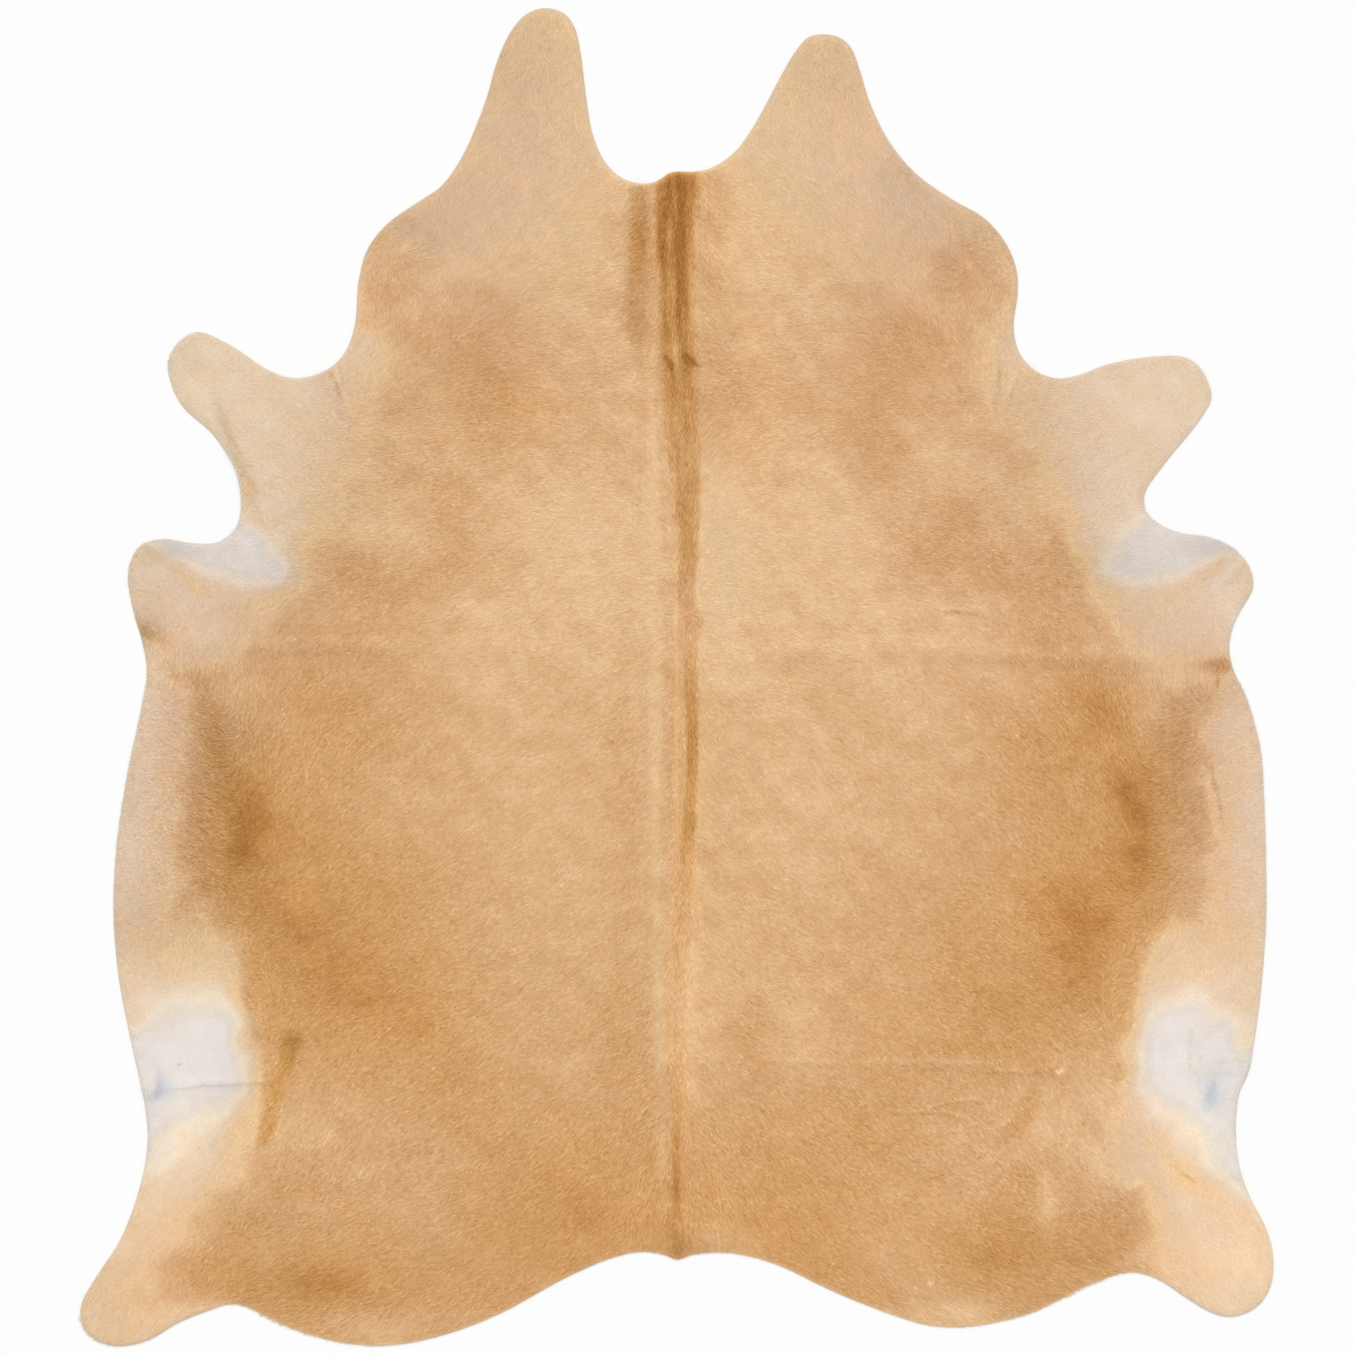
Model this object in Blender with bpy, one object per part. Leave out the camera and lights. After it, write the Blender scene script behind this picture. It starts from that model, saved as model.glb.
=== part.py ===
"""A whole cowhide rug lying flat on a floor, hair side up.

The rug is one piece of tanned hide: a thin closed sheet with the animal's outline, that is
two neck flaps, four legs, two flank flaps, a bay on each side and a short point at the tail.
It was folded for transport, so low fold lines cross it, and the sheet bridges the floor
under each of them. Everywhere else its underside lies on the floor.

+Y runs to the neck, +X to the animal's flank on the right of the picture, +Z up. The origin
is at the middle of the hide's length and width, on the floor.
"""

import math

import bpy
import numpy as np
from mathutils.geometry import delaunay_2d_cdt

MM = 0.001

# Driving sizes, in millimetres
HIDE_LENGTH = 2300.0  # from the tip of the longer neck flap to the rump, along Y
LEATHER = 2.2  # the tanned skin alone
COAT = 2.9  # the flat-lying hair over it, on the body
CUT_EDGE = 2.7  # skin and hair together, right at the cut edge
EDGE_ROLL = 9.0  # how far in from the cut edge the coat reaches its full depth
UNEVEN = 0.35  # how much deeper or shallower the coat lies in places

# How finely the sheet is divided, in millimetres and degrees
EDGE_STEP = 34.0  # longest straight piece of the edge
EDGE_TURN = 11.0  # most that the edge turns between two points
FIELD_STEP = 56.0  # spacing of points in the open field
FOLD_STEP = 34.0  # spacing of points along a fold
FOOT_WANDER = 0.14  # how much further out every other point of a fold's foot lies, in half widths
CURVE_STEPS = 200  # how finely a fold's route is read before its points are picked
ROLL_CROWDING = 0.8  # a point of the edge roll is left out where it is this share of EDGE_ROLL in
FIELD_CROWDING = 0.56  # a point of the field this share of a step from another is left out
FOLD_CROWDING = 0.38  # the same for a fold's points, as a share of the fold's half width
MERGE_GAP = 1e-4  # points nearer than this are one
INSIDE_BORDER = 1  # the triangulation's choice of output: only the triangles inside the border

COAT_COLOUR = (0.68, 0.42, 0.21, 1.0)
COAT_ROUGHNESS = 0.72

# The edge, in millimetres across (x) and along (y), on a hide 2300 long: the few places
# that each stretch turns through, anticlockwise from the tail. A smooth curve joins them.
EDGE = {
    "tail point": ((0, -1001), (25, -993)),
    "right rump": ((70, -989), (120, -995), (180, -1014), (240, -1043), (300, -1070), (420, -1112),
                   (480, -1118), (545, -1110), (610, -1092), (685, -1055)),
    "right hind notch": ((735, -1033), (780, -1023), (825, -1035)),
    "right hind leg": ((875, -1067), (915, -1091), (950, -1100), (990, -1087), (1017, -1055),
                       (1025, -1005), (1015, -955), (985, -895)),
    "right groin": ((967, -845), (960, -780), (966, -717), (980, -685)),
    "right belly": ((988, -650), (1003, -545), (1012, -420), (1012, -320), (1008, -200), (1002, -120),
                    (977, -32)),
    "right waist": ((955, 15), (949, 47), (955, 85)),
    "right flank flap": ((970, 118), (985, 142), (990, 165), (980, 195), (955, 222), (915, 240)),
    "right bay": ((865, 248), (830, 262), (805, 287), (804, 316)),
    "right front leg": ((840, 370), (898, 442), (918, 480), (912, 508), (895, 535), (870, 550),
                        (800, 549), (735, 536)),
    "right shoulder notch": ((690, 519), (650, 514), (612, 529), (587, 560), (578, 602)),
    "right shoulder": ((585, 660), (583, 700), (565, 745), (530, 787), (468, 824)),
    "right neck flap": ((412, 864), (366, 918), (332, 985), (313, 1045), (298, 1083), (280, 1099),
                        (255, 1105), (227, 1101), (205, 1078), (183, 1042), (150, 980)),
    "neck notch": ((125, 937), (98, 902), (60, 876), (28, 869), (-10, 868), (-35, 853), (-60, 848),
                   (-92, 856), (-122, 882)),
    "left neck flap": ((-145, 930), (-157, 995), (-167, 1075), (-177, 1117), (-195, 1141), (-230, 1150),
                       (-262, 1138), (-288, 1107), (-311, 1055), (-326, 1002), (-345, 950),
                       (-370, 895)),
    "left shoulder": ((-405, 845), (-450, 814), (-500, 778), (-533, 735), (-548, 680)),
    "left shoulder notch": ((-555, 602), (-575, 553), (-612, 523), (-660, 514), (-702, 527)),
    "left front leg": ((-770, 571), (-825, 593), (-855, 578), (-875, 545), (-871, 507), (-850, 465)),
    "left bay": ((-800, 419), (-762, 362), (-750, 305), (-758, 258), (-790, 232)),
    "left flank flap": ((-835, 230), (-885, 237), (-925, 224), (-944, 183), (-938, 125)),
    "left waist": ((-917, 48), (-912, 5), (-920, -45)),
    "left belly": ((-948, -180), (-965, -300), (-969, -415), (-960, -520)),
    "left groin": ((-932, -660), (-915, -740), (-911, -805)),
    "left hind leg": ((-925, -880), (-958, -968), (-1000, -1033), (-1024, -1077), (-1024, -1110),
                      (-1002, -1138), (-960, -1150), (-910, -1140)),
    "left hind notch": ((-858, -1110), (-805, -1089), (-768, -1078), (-738, -1083)),
    "left rump": ((-700, -1101), (-640, -1127), (-577, -1144), (-515, -1150), (-450, -1143),
                  (-370, -1121), (-300, -1092), (-190, -1032), (-110, -998), (-62, -988), (-25, -992)),
}

# Fold lines. Columns: name, how far to either side the sheet takes to come down to the floor,
# and the crest's route as places across (x) and along (y) with the height of the crest there.
FOLDS = (
    ("waist fold, right side", 32.0, ((60, 34, 0.0), (200, 40, 1.8), (330, 46, 3.0), (480, 44, 3.4),
                                      (640, 34, 3.2), (760, 28, 2.2), (880, 26, 1.6), (965, 24, 1.4))),
    ("waist fold, left side", 28.0, ((-120, 30, 0.0), (-300, 42, 1.4), (-470, 52, 1.8), (-650, 56, 2.0),
                                     (-800, 50, 1.2), (-925, 46, 1.0))),
    ("rump fold, right side", 26.0, ((130, -652, 0.0), (260, -655, 2.4), (400, -652, 3.0),
                                     (520, -655, 2.4), (620, -672, 1.6), (760, -668, 1.4),
                                     (880, -662, 2.2), (995, -664, 2.0))),
    ("rump fold, left side", 22.0, ((-260, -690, 0.0), (-420, -698, 1.4), (-560, -690, 1.8),
                                    (-700, -700, 2.0), (-820, -704, 2.4), (-925, -712, 1.8))),
    ("crease down the left front leg", 20.0, ((-792, 492, 0.0), (-782, 440, 2.4), (-765, 385, 3.2),
                                              (-738, 320, 2.4), (-722, 265, 0.0))),
    ("wrinkle in the left leg pit", 20.0, ((-624, 536, 2.8), (-592, 490, 3.0), (-566, 440, 2.0),
                                           (-556, 380, 0.0))),
    ("wrinkle in the right leg pit", 20.0, ((612, 536, 2.8), (580, 480, 3.0), (566, 430, 1.8),
                                            (562, 370, 0.0))),
    ("crease in the right groin", 18.0, ((890, -560, 0.0), (897, -625, 2.2), (901, -700, 2.6),
                                         (893, -765, 1.6), (884, -830, 0.0))),
    ("pucker by the neck notch", 20.0, ((-68, 866, 2.6), (-62, 780, 2.2), (-48, 700, 1.4),
                                        (-36, 620, 0.0))),
)

# Where the hide is thicker or thinner than on the open body. Columns: name, centre across,
# centre along, reach across, reach along, millimetres added.
DEPTHS = (
    ("backbone", -5, -60, 55, 1100, 0.9),
    ("neck", 20, 800, 260, 200, 0.5),
    ("rump", 0, -900, 420, 200, 0.4),
    ("left front leg", -830, 470, 150, 130, -1.3),
    ("right front leg", 850, 480, 150, 120, -1.3),
    ("left flank flap", -900, 170, 120, 110, -1.1),
    ("right flank flap", 940, 170, 120, 110, -1.1),
    ("left belly", -960, -330, 110, 330, -0.9),
    ("right belly", 1000, -330, 110, 360, -0.9),
    ("left groin", -930, -700, 130, 190, -1.4),
    ("right groin", 970, -740, 130, 190, -1.4),
    ("left hind leg", -980, -1080, 130, 110, -0.8),
    ("right hind leg", 980, -1040, 130, 120, -0.8),
)

# The long waves of the coat's depth: each one's length across and along
WAVES = ((520, 1320), (-1640, 450), (365, 365))


def clear_scene():
    """Empties the scene, so that the hide stands alone."""
    for thing in list(bpy.data.objects):
        bpy.data.objects.remove(thing, do_unlink=True)


def closed_curve(knots, steps_per_span=24):
    """A smooth closed curve through the knots: centripetal Catmull-Rom, each span a cubic."""
    here = np.asarray(knots, float)
    before, after, beyond = np.roll(here, 1, 0), np.roll(here, -1, 0), np.roll(here, -2, 0)
    gaps = np.sqrt(np.linalg.norm(after - here, axis=1))[:, None]
    gaps_before, gaps_after = np.roll(gaps, 1, 0), np.roll(gaps, -1, 0)
    # the slope at each end of a span, from its neighbours and their distances
    rise = (after - here) / gaps
    leave = (here - before) / gaps_before
    leave = rise - (after - before) / (gaps_before + gaps) + leave
    arrive = rise - (beyond - here) / (gaps + gaps_after) + (beyond - after) / gaps_after
    leave, arrive = leave * gaps, arrive * gaps
    t = (np.arange(steps_per_span) / steps_per_span)[None, :, None]
    here, after, leave, arrive = (part[:, None, :] for part in (here, after, leave, arrive))
    points = (
        (2 * t**3 - 3 * t**2 + 1) * here
        + (t**3 - 2 * t**2 + t) * leave
        + (3 * t**2 - 2 * t**3) * after
        + (t**3 - t**2) * arrive
    )
    return points.reshape(-1, 2)


def thinned(curve):
    """Keeps one point for each EDGE_STEP of the curve's length or EDGE_TURN of its turning."""
    ring = np.vstack([curve, curve[:1]])
    runs = np.diff(ring, axis=0)
    lengths = np.linalg.norm(runs, axis=1)
    headings = np.arctan2(runs[:, 1], runs[:, 0])
    turns = np.roll(headings, -1) - headings
    turns = np.abs((turns + math.pi) % (2 * math.pi) - math.pi)
    need = np.concatenate([[0.0], np.cumsum(lengths / EDGE_STEP + turns / math.radians(EDGE_TURN))])
    at = np.linspace(0.0, need[-1], math.ceil(need[-1]), endpoint=False)
    return np.column_stack([np.interp(at, need, ring[:, axis]) for axis in (0, 1)])


def hide_edge():
    """The cut edge, scaled to HIDE_LENGTH and centred on the origin."""
    knots = [point for stretch in EDGE.values() for point in stretch]
    curve = closed_curve(knots)
    low, high = curve.min(axis=0), curve.max(axis=0)
    scale = HIDE_LENGTH / (high[1] - low[1])
    return thinned((curve - (low + high) / 2) * scale)


def fold_line(route):
    """A fold's crest as points FOLD_STEP apart, each with its place and height.

    Two passes of a moving average round off the route's corners.
    """
    knots = np.asarray(route, float)
    along = np.concatenate([[0.0], np.cumsum(np.linalg.norm(np.diff(knots[:, :2], axis=0), axis=1))])
    fine = np.linspace(0.0, along[-1], CURVE_STEPS)
    line = np.column_stack([np.interp(fine, along, column) for column in knots.T])
    reach = CURVE_STEPS // (2 * len(knots))
    for _ in range(2):
        padded = np.pad(line, ((reach, reach), (0, 0)), mode="reflect", reflect_type="odd")
        smooth = [np.convolve(column, np.ones(reach) / reach, mode="same") for column in padded.T]
        line = np.column_stack(smooth)[reach:-reach]
    count = max(2, round(along[-1] / FOLD_STEP))
    return line[np.linspace(0, CURVE_STEPS - 1, count + 1).round().astype(int)]


def distances(points, line, closed=False):
    """Each point's distance to a line of straight pieces, and its place there, counted in pieces."""
    starts = line if closed else line[:-1]
    runs = (np.roll(line, -1, axis=0) - line)[: len(starts)]
    offsets = points[:, None, :] - starts[None, :, :]
    share = np.clip((offsets * runs).sum(axis=2) / (runs**2).sum(axis=1), 0.0, 1.0)
    gaps = np.linalg.norm(offsets - share[..., None] * runs, axis=2)
    nearest = gaps.argmin(axis=1)
    rows = np.arange(len(points))
    return gaps[rows, nearest], nearest + share[rows, nearest]


def inside(points, edge):
    """Which points lie inside the edge: a ray along +X crosses it an odd number of times."""
    x, y = points[:, :1], points[:, 1:]
    x0, y0 = edge[:, 0], edge[:, 1]
    x1, y1 = np.roll(x0, -1), np.roll(y0, -1)
    spans = (y0 > y) != (y1 > y)
    rise = np.where(y1 == y0, 1.0, y1 - y0)
    crossing = x0 + (y - y0) / rise * (x1 - x0)
    return (spans & (x < crossing)).sum(axis=1) % 2 == 1


def lift(points):
    """How far the sheet stands clear of the floor: over each fold, its crest times a cosine squared."""
    height = np.zeros(len(points))
    for _, half_width, route in FOLDS:
        line = fold_line(route)
        gap, place = distances(points, line[:, :2])
        crest = np.interp(place, np.arange(len(line)), line[:, 2])
        across = np.cos(np.clip(gap / half_width, 0.0, 1.0) * math.pi / 2) ** 2
        height = np.maximum(height, crest * across)
    return height


def thickness(points, edge):
    """Skin and coat together: thin at the cut edge, full from EDGE_ROLL inwards, plus DEPTHS.

    The crossing WAVES make the coat's depth a little uneven.
    """
    x, y = points.T
    depth = np.full(len(points), LEATHER + COAT)
    for across, along in WAVES:
        depth += UNEVEN / len(WAVES) * np.sin(2 * math.pi * (x / across + y / along))
    for _, mid_x, mid_y, reach_x, reach_y, added in DEPTHS:
        spread = ((x - mid_x) / reach_x) ** 2 + ((y - mid_y) / reach_y) ** 2
        depth += added * np.exp(-spread)
    inward = np.clip(distances(points, edge, closed=True)[0] / EDGE_ROLL, 0.0, 1.0)
    return CUT_EDGE + (depth - CUT_EDGE) * np.sqrt(inward)


def apart(more, kept, spacing):
    """Which of the new points aren't crowded by those already kept."""
    return np.linalg.norm(more[:, None, :] - kept[None, :, :], axis=2).min(axis=1) > spacing


def edge_roll(edge):
    """The line just inside the cut edge where the coat reaches its full depth."""
    run = np.roll(edge, -1, axis=0) - np.roll(edge, 1, axis=0)
    inward = np.column_stack([-run[:, 1], run[:, 0]]) / np.linalg.norm(run, axis=1)[:, None]
    roll = edge + inward * EDGE_ROLL
    return roll[distances(roll, edge, closed=True)[0] > EDGE_ROLL * ROLL_CROWDING]


def fold_rows(route, half_width):
    """Rows of points along a fold: its crest, both slopes and both feet, which wander a little."""
    line = fold_line(route)[:, :2]
    run = np.gradient(line, axis=0)
    side = np.column_stack([-run[:, 1], run[:, 0]]) / np.linalg.norm(run, axis=1)[:, None]
    foot = 1.0 + FOOT_WANDER * (np.arange(len(line)) % 2)[:, None]
    return [line + side * half_width * share for share in (0.0, -0.5, 0.5, -foot, foot)]


def open_field(edge):
    """Points over the whole hide in rows a FIELD_STEP apart, every other row shifted by half."""
    low, high = edge.min(axis=0), edge.max(axis=0)
    rows = np.arange(low[1], high[1], FIELD_STEP * math.sqrt(0.75))
    columns = np.arange(low[0], high[0], FIELD_STEP)
    x, y = np.meshgrid(columns, rows)
    x[1::2] += FIELD_STEP / 2
    field = np.column_stack([x.ravel(), y.ravel()])
    return field[inside(field, edge)]


def plan(edge):
    """The sheet seen from above, as corners and triangles: edge, edge roll, folds, then open field."""
    points = np.vstack([edge, edge_roll(edge)])
    for _, half_width, route in FOLDS:
        for row in fold_rows(route, half_width):
            keep = inside(row, edge) & apart(row, points, half_width * FOLD_CROWDING)
            keep &= distances(row, edge, closed=True)[0] > EDGE_ROLL
            points = np.vstack([points, row[keep]])
    field = open_field(edge)
    points = np.vstack([points, field[apart(field, points, FIELD_STEP * FIELD_CROWDING)]])
    border = [(i, (i + 1) % len(edge)) for i in range(len(edge))]
    result = delaunay_2d_cdt([tuple(point) for point in points], border, [], INSIDE_BORDER, MERGE_GAP)
    return np.array(result[0])[:, :2], np.array(result[2])


def coat_material():
    """Tan hair, matt."""
    material = bpy.data.materials.new("tan coat")
    material.use_nodes = True
    surface = material.node_tree.nodes["Principled BSDF"]
    surface.inputs["Base Color"].default_value = COAT_COLOUR
    surface.inputs["Roughness"].default_value = COAT_ROUGHNESS
    surface.inputs["Metallic"].default_value = 0.0
    return material


def build_hide():
    """One closed sheet: the plan at the height of the lift, again at the top of the coat, and walls."""
    edge = hide_edge()
    corners, triangles = plan(edge)
    count = len(corners)
    underside = np.column_stack([corners, lift(corners)])
    top = underside + np.column_stack([np.zeros((count, 2)), thickness(corners, edge)])

    # a side of a triangle that no neighbour runs back along is part of the cut edge
    sides = {(int(t[i]), int(t[(i + 1) % 3])) for t in triangles for i in range(3)}
    rim = sorted((a, b) for a, b in sides if (b, a) not in sides)
    faces = (triangles + count).tolist() + triangles[:, ::-1].tolist()
    for a, b in rim:
        faces += [(a, b, b + count), (a, b + count, a + count)]

    mesh = bpy.data.meshes.new("hide")
    mesh.from_pydata((np.vstack([underside, top]) * MM).tolist(), [], faces)
    mesh.shade_smooth()
    mesh.set_sharp_from_angle(angle=math.radians(60))
    mesh.materials.append(coat_material())
    hide = bpy.data.objects.new("hide", mesh)
    bpy.context.scene.collection.objects.link(hide)


clear_scene()
build_hide()
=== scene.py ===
import math

import bpy
import numpy as np
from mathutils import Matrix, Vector
from mathutils.geometry import delaunay_2d_cdt


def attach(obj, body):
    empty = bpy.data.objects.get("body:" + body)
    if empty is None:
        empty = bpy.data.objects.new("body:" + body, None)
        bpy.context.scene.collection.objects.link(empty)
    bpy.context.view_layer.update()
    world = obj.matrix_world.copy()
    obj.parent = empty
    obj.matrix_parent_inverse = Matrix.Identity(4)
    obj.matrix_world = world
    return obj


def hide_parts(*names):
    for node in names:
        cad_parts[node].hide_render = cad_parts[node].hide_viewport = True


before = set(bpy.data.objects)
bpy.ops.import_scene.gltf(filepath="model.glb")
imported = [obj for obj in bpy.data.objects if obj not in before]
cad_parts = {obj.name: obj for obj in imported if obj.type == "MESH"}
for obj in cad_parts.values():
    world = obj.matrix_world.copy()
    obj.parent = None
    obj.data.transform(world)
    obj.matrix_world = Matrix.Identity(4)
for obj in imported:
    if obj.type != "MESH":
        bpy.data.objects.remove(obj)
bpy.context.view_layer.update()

MM = 0.001

# The view. The hide was photographed from straight above, and it fills
# the square picture almost to the edge.
VIEW_WIDTH = 2329 * MM
LENS = 100.0
SENSOR = 36.0

camera = bpy.data.objects.new("camera", bpy.data.cameras.new("camera"))
camera.data.sensor_width = SENSOR
camera.data.lens = LENS
camera.data.clip_end = 60
camera.location = (0, 0, VIEW_WIDTH * LENS / SENSOR)
bpy.context.collection.objects.link(camera)
bpy.context.scene.camera = camera

# The skin. One tanned cattle hide, 2 mm thick, cut to the animal's outline
# with a square edge, and laid flat. Where it lay folded for transport it
# still stands in low soft ridges.
LEATHER = 2.2 * MM
CUT_LEATHER = 1.8 * MM
COAT = 2.9 * MM
EDGE_ROLL = 9 * MM
EDGE_STEP = 8 * MM
SKIN_STEP = 12 * MM
ROW_RISE, NET_ROOM = 0.866, 0.55
MAP_STEP = 6 * MM
EDGE_BULGE = 0.35 * MM
THINNEST_COAT = 1.1 * MM
FACING_DOWN = 0.7
MAP_REACH = 90 * MM
MAP_ROOM = 30 * MM
FAR = 9.0

# Each fold: half its width, then x, y and height along its crest, in mm.
FOLDS = {
    "waist fold, right": (32, ((60, 34, 0), (200, 40, 1.8), (330, 46, 3.0), (480, 44, 3.4), (640, 34, 3.2),
        (760, 28, 2.2), (880, 26, 1.6), (965, 24, 1.4))),
    "waist fold, left": (28, ((-120, 30, 0), (-300, 42, 1.4), (-470, 52, 1.8), (-650, 56, 2.0), (-800, 50, 1.2),
        (-925, 46, 1.0))),
    "rump fold, right": (26, ((130, -652, 0), (260, -655, 2.4), (400, -652, 3.0), (520, -655, 2.4), (620, -672, 1.6),
        (760, -668, 1.4), (880, -662, 2.2), (995, -664, 2.0))),
    "rump fold, left": (22, ((-260, -690, 0), (-420, -698, 1.4), (-560, -690, 1.8), (-700, -700, 2.0),
        (-820, -704, 2.4), (-925, -712, 1.8))),
    "crease of the left front leg": (20, ((-792, 492, 0), (-782, 440, 2.4), (-765, 385, 3.2), (-738, 320, 2.4),
        (-722, 265, 0))),
    "wrinkle of the left leg pit": (20, ((-624, 536, 2.8), (-592, 490, 3.0), (-566, 440, 2.0), (-556, 380, 0))),
    "wrinkle of the right leg pit": (20, ((612, 536, 2.8), (580, 480, 3.0), (566, 430, 1.8), (562, 370, 0))),
    "crease of the right groin": (18, ((890, -560, 0), (897, -625, 2.2), (901, -700, 2.6), (893, -765, 1.6),
        (884, -830, 0))),
    "pucker by the neck notch": (20, ((-68, 866, 2.6), (-62, 780, 2.2), (-48, 700, 1.4), (-36, 620, 0))),
}

# Places where something changes, here and in the tables below, part by part: x, below nought on the left, y,
# reach along x and y, change and, if any, a turn in degrees. Where the coat lies deeper or thinner, in mm:
DEPTHS = {
    "back": ((-5, -60, 55, 1100, 0.9),),
    "neck": ((20, 800, 260, 200, 0.5),),
    "rump": ((0, -900, 420, 200, 0.4),),
    "front legs": ((-800, 470, 170, 150, -1.3), (810, 470, 170, 150, -1.3)),
    "flank flaps": ((-860, 180, 130, 110, -1.1), (880, 190, 130, 110, -1.1)),
    "belly": ((-930, -230, 90, 300, -0.9), (960, -230, 90, 300, -0.9)),
    "groins": ((-850, -640, 110, 170, -1.4), (890, -660, 110, 170, -1.4)),
    "hind legs": ((-900, -1010, 140, 130, -0.8), (920, -1000, 140, 130, -0.8)),
}


def cut_edge(node):
    """The hide's outline as the CAD solid has it, anticlockwise: in a merged copy of its mesh, the edges that
    belong to only one face of the underside, followed from corner to corner."""
    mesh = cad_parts[node].data
    places = np.empty(len(mesh.vertices) * 3)
    mesh.vertices.foreach_get("co", places)
    places = places.reshape(-1, 3)
    mesh.calc_loop_triangles()
    faces = np.empty(len(mesh.loop_triangles) * 3, np.int32)
    mesh.loop_triangles.foreach_get("vertices", faces)
    merged, same = np.unique(np.round(places, 5), axis=0, return_inverse=True)
    faces = same.reshape(-1)[faces].reshape(-1, 3)
    a, b, c = (merged[faces[:, n]] for n in range(3))
    facing = np.cross(b - a, c - a)
    under = faces[facing[:, 2] < -FACING_DOWN * np.linalg.norm(facing, axis=1)]
    edges = np.concatenate([under[:, [0, 1]], under[:, [1, 2]], under[:, [2, 0]]])
    pairs = {(int(p), int(q)) for p, q in edges}
    after = {q: p for p, q in pairs if (q, p) not in pairs}
    at = start = next(iter(after))
    ring = []
    while True:
        ring.append(at)
        at = after[at]
        if at == start:
            break
    return merged[ring][:, :2]


def closed_curve(points, step):
    """A smooth closed curve through the points, the same distance apart all along. Between two points it blends
    the two parabolas through their neighbours, timed by the square root of the gaps (centripetal Catmull-Rom)."""
    p = [np.roll(points, shift, axis=0) for shift in (1, 0, -1, -2)]
    gaps = [np.sqrt(np.linalg.norm(p[n + 1] - p[n], axis=1)) for n in range(3)]
    t = [np.zeros(len(points))]
    for gap in gaps:
        t.append(t[-1] + np.maximum(gap, 1e-6))
    share = np.linspace(0, 1, 12, endpoint=False)
    at = (t[1][:, None] + (t[2] - t[1])[:, None] * share)[..., None]
    t = [knot[:, None, None] for knot in t]
    p = [point[:, None, :] for point in p]

    def between(low, high, first, last):
        """Two points mixed by the time between them."""
        return (first * (high - at) + last * (at - low)) / (high - low)

    a = [between(t[n], t[n + 1], p[n], p[n + 1]) for n in range(3)]
    b = [between(t[n], t[n + 2], a[n], a[n + 1]) for n in range(2)]
    fine = between(t[1], t[2], b[0], b[1]).reshape(-1, 2)
    ring = np.vstack([fine, fine[:1]])
    run = np.concatenate([[0], np.cumsum(np.linalg.norm(np.diff(ring, axis=0), axis=1))])
    wanted = np.linspace(0, run[-1], int(run[-1] / step), endpoint=False)
    return np.stack([np.interp(wanted, run, ring[:, n]) for n in range(2)], axis=1)


def within(points, ring):
    """Whether each point is inside a closed line: a ray from it to the right crosses the line an odd number of
    times."""
    x, y = points[:, 0], points[:, 1]
    inside = np.zeros(len(points), bool)
    for (x0, y0), (x1, y1) in zip(ring, np.roll(ring, -1, axis=0)):
        if y0 != y1:
            near = ((y0 > y) != (y1 > y)).nonzero()[0]
            inside[near] ^= x[near] < x0 + (y[near] - y0) * (x1 - x0) / (y1 - y0)
    return inside


def beside(points, route):
    """For each point the gap to a route of straight steps, and how far along the route it lies, counted in
    steps."""
    gap = np.full(len(points), FAR)
    at = np.zeros(len(points))
    for n, (start, end) in enumerate(zip(route[:-1], route[1:])):
        step = end - start
        share = np.clip((points - start) @ step / (step @ step), 0, 1)
        off = np.linalg.norm(points - start - share[:, None] * step, axis=1)
        nearer = off < gap
        gap = np.where(nearer, off, gap)
        at = np.where(nearer, n + share, at)
    return gap, at


def near_route(points, route, reach):
    """The numbers of the points that lie in the route's own box, widened by a reach."""
    low = route.min(axis=0) - reach
    high = route.max(axis=0) + reach
    return ((points > low) & (points < high)).all(axis=1).nonzero()[0]


def lift(points):
    """How high the skin stands off the floor: over each fold the square of a half cosine, as wide as the fold
    and as high as its crest there. Where folds meet, the higher one counts."""
    height = np.zeros(len(points))
    for half, crest in FOLDS.values():
        crest = np.array(crest) * MM
        some = near_route(points, crest[:, :2], half * MM)
        gap, at = beside(points[some], crest[:, :2])
        top = np.interp(at, np.arange(len(crest)), crest[:, 2])
        wave = np.cos(np.clip(gap / (half * MM), 0, 1) * math.pi / 2) ** 2
        height[some] = np.maximum(height[some], top * wave)
    return height


EDGE = closed_curve(cut_edge("hide"), EDGE_STEP)

# A map of the distance to the cut edge, below nought outside, on a square net over the hide.
MAP_LOW = EDGE.min(axis=0) - MAP_ROOM
MAP_SIZE = np.ceil((EDGE.max(axis=0) + MAP_ROOM - MAP_LOW) / MAP_STEP).astype(int) + 1


def inward_map():
    """Distance from each crossing of the net to the edge line, nearest of all its steps, with a minus outside."""
    x = MAP_LOW[0] + MAP_STEP * np.arange(MAP_SIZE[0])
    start = EDGE
    step = np.roll(EDGE, -1, axis=0) - start
    length = (step ** 2).sum(axis=1)
    rows = []
    for n in range(MAP_SIZE[1]):
        row = np.stack([x, np.full(len(x), MAP_LOW[1] + MAP_STEP * n)], axis=1)
        close = np.abs(start[:, 1] - row[0, 1]) < MAP_REACH
        s, d, size = start[close], step[close], length[close]
        away = row[:, None, :] - s
        share = np.clip((away * d).sum(axis=2) / size, 0, 1)
        off = away - share[..., None] * d
        gap = np.sqrt((off ** 2).sum(axis=2).min(axis=1, initial=MAP_REACH ** 2))
        rows.append(np.where(within(row, EDGE), gap, -gap))
    return np.array(rows)


INWARD = inward_map()


def inward(points):
    """The map's distance to the edge at any point, mixed from the four crossings of the net round it."""
    at = np.clip((points - MAP_LOW) / MAP_STEP, 0, MAP_SIZE - 1.001)
    whole = at.astype(int)
    x, y = whole.T
    u, v = (at - whole).T
    low = INWARD[y, x] * (1 - u) + INWARD[y, x + 1] * u
    high = INWARD[y + 1, x] * (1 - u) + INWARD[y + 1, x + 1] * u
    return low * (1 - v) + high * v


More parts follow.
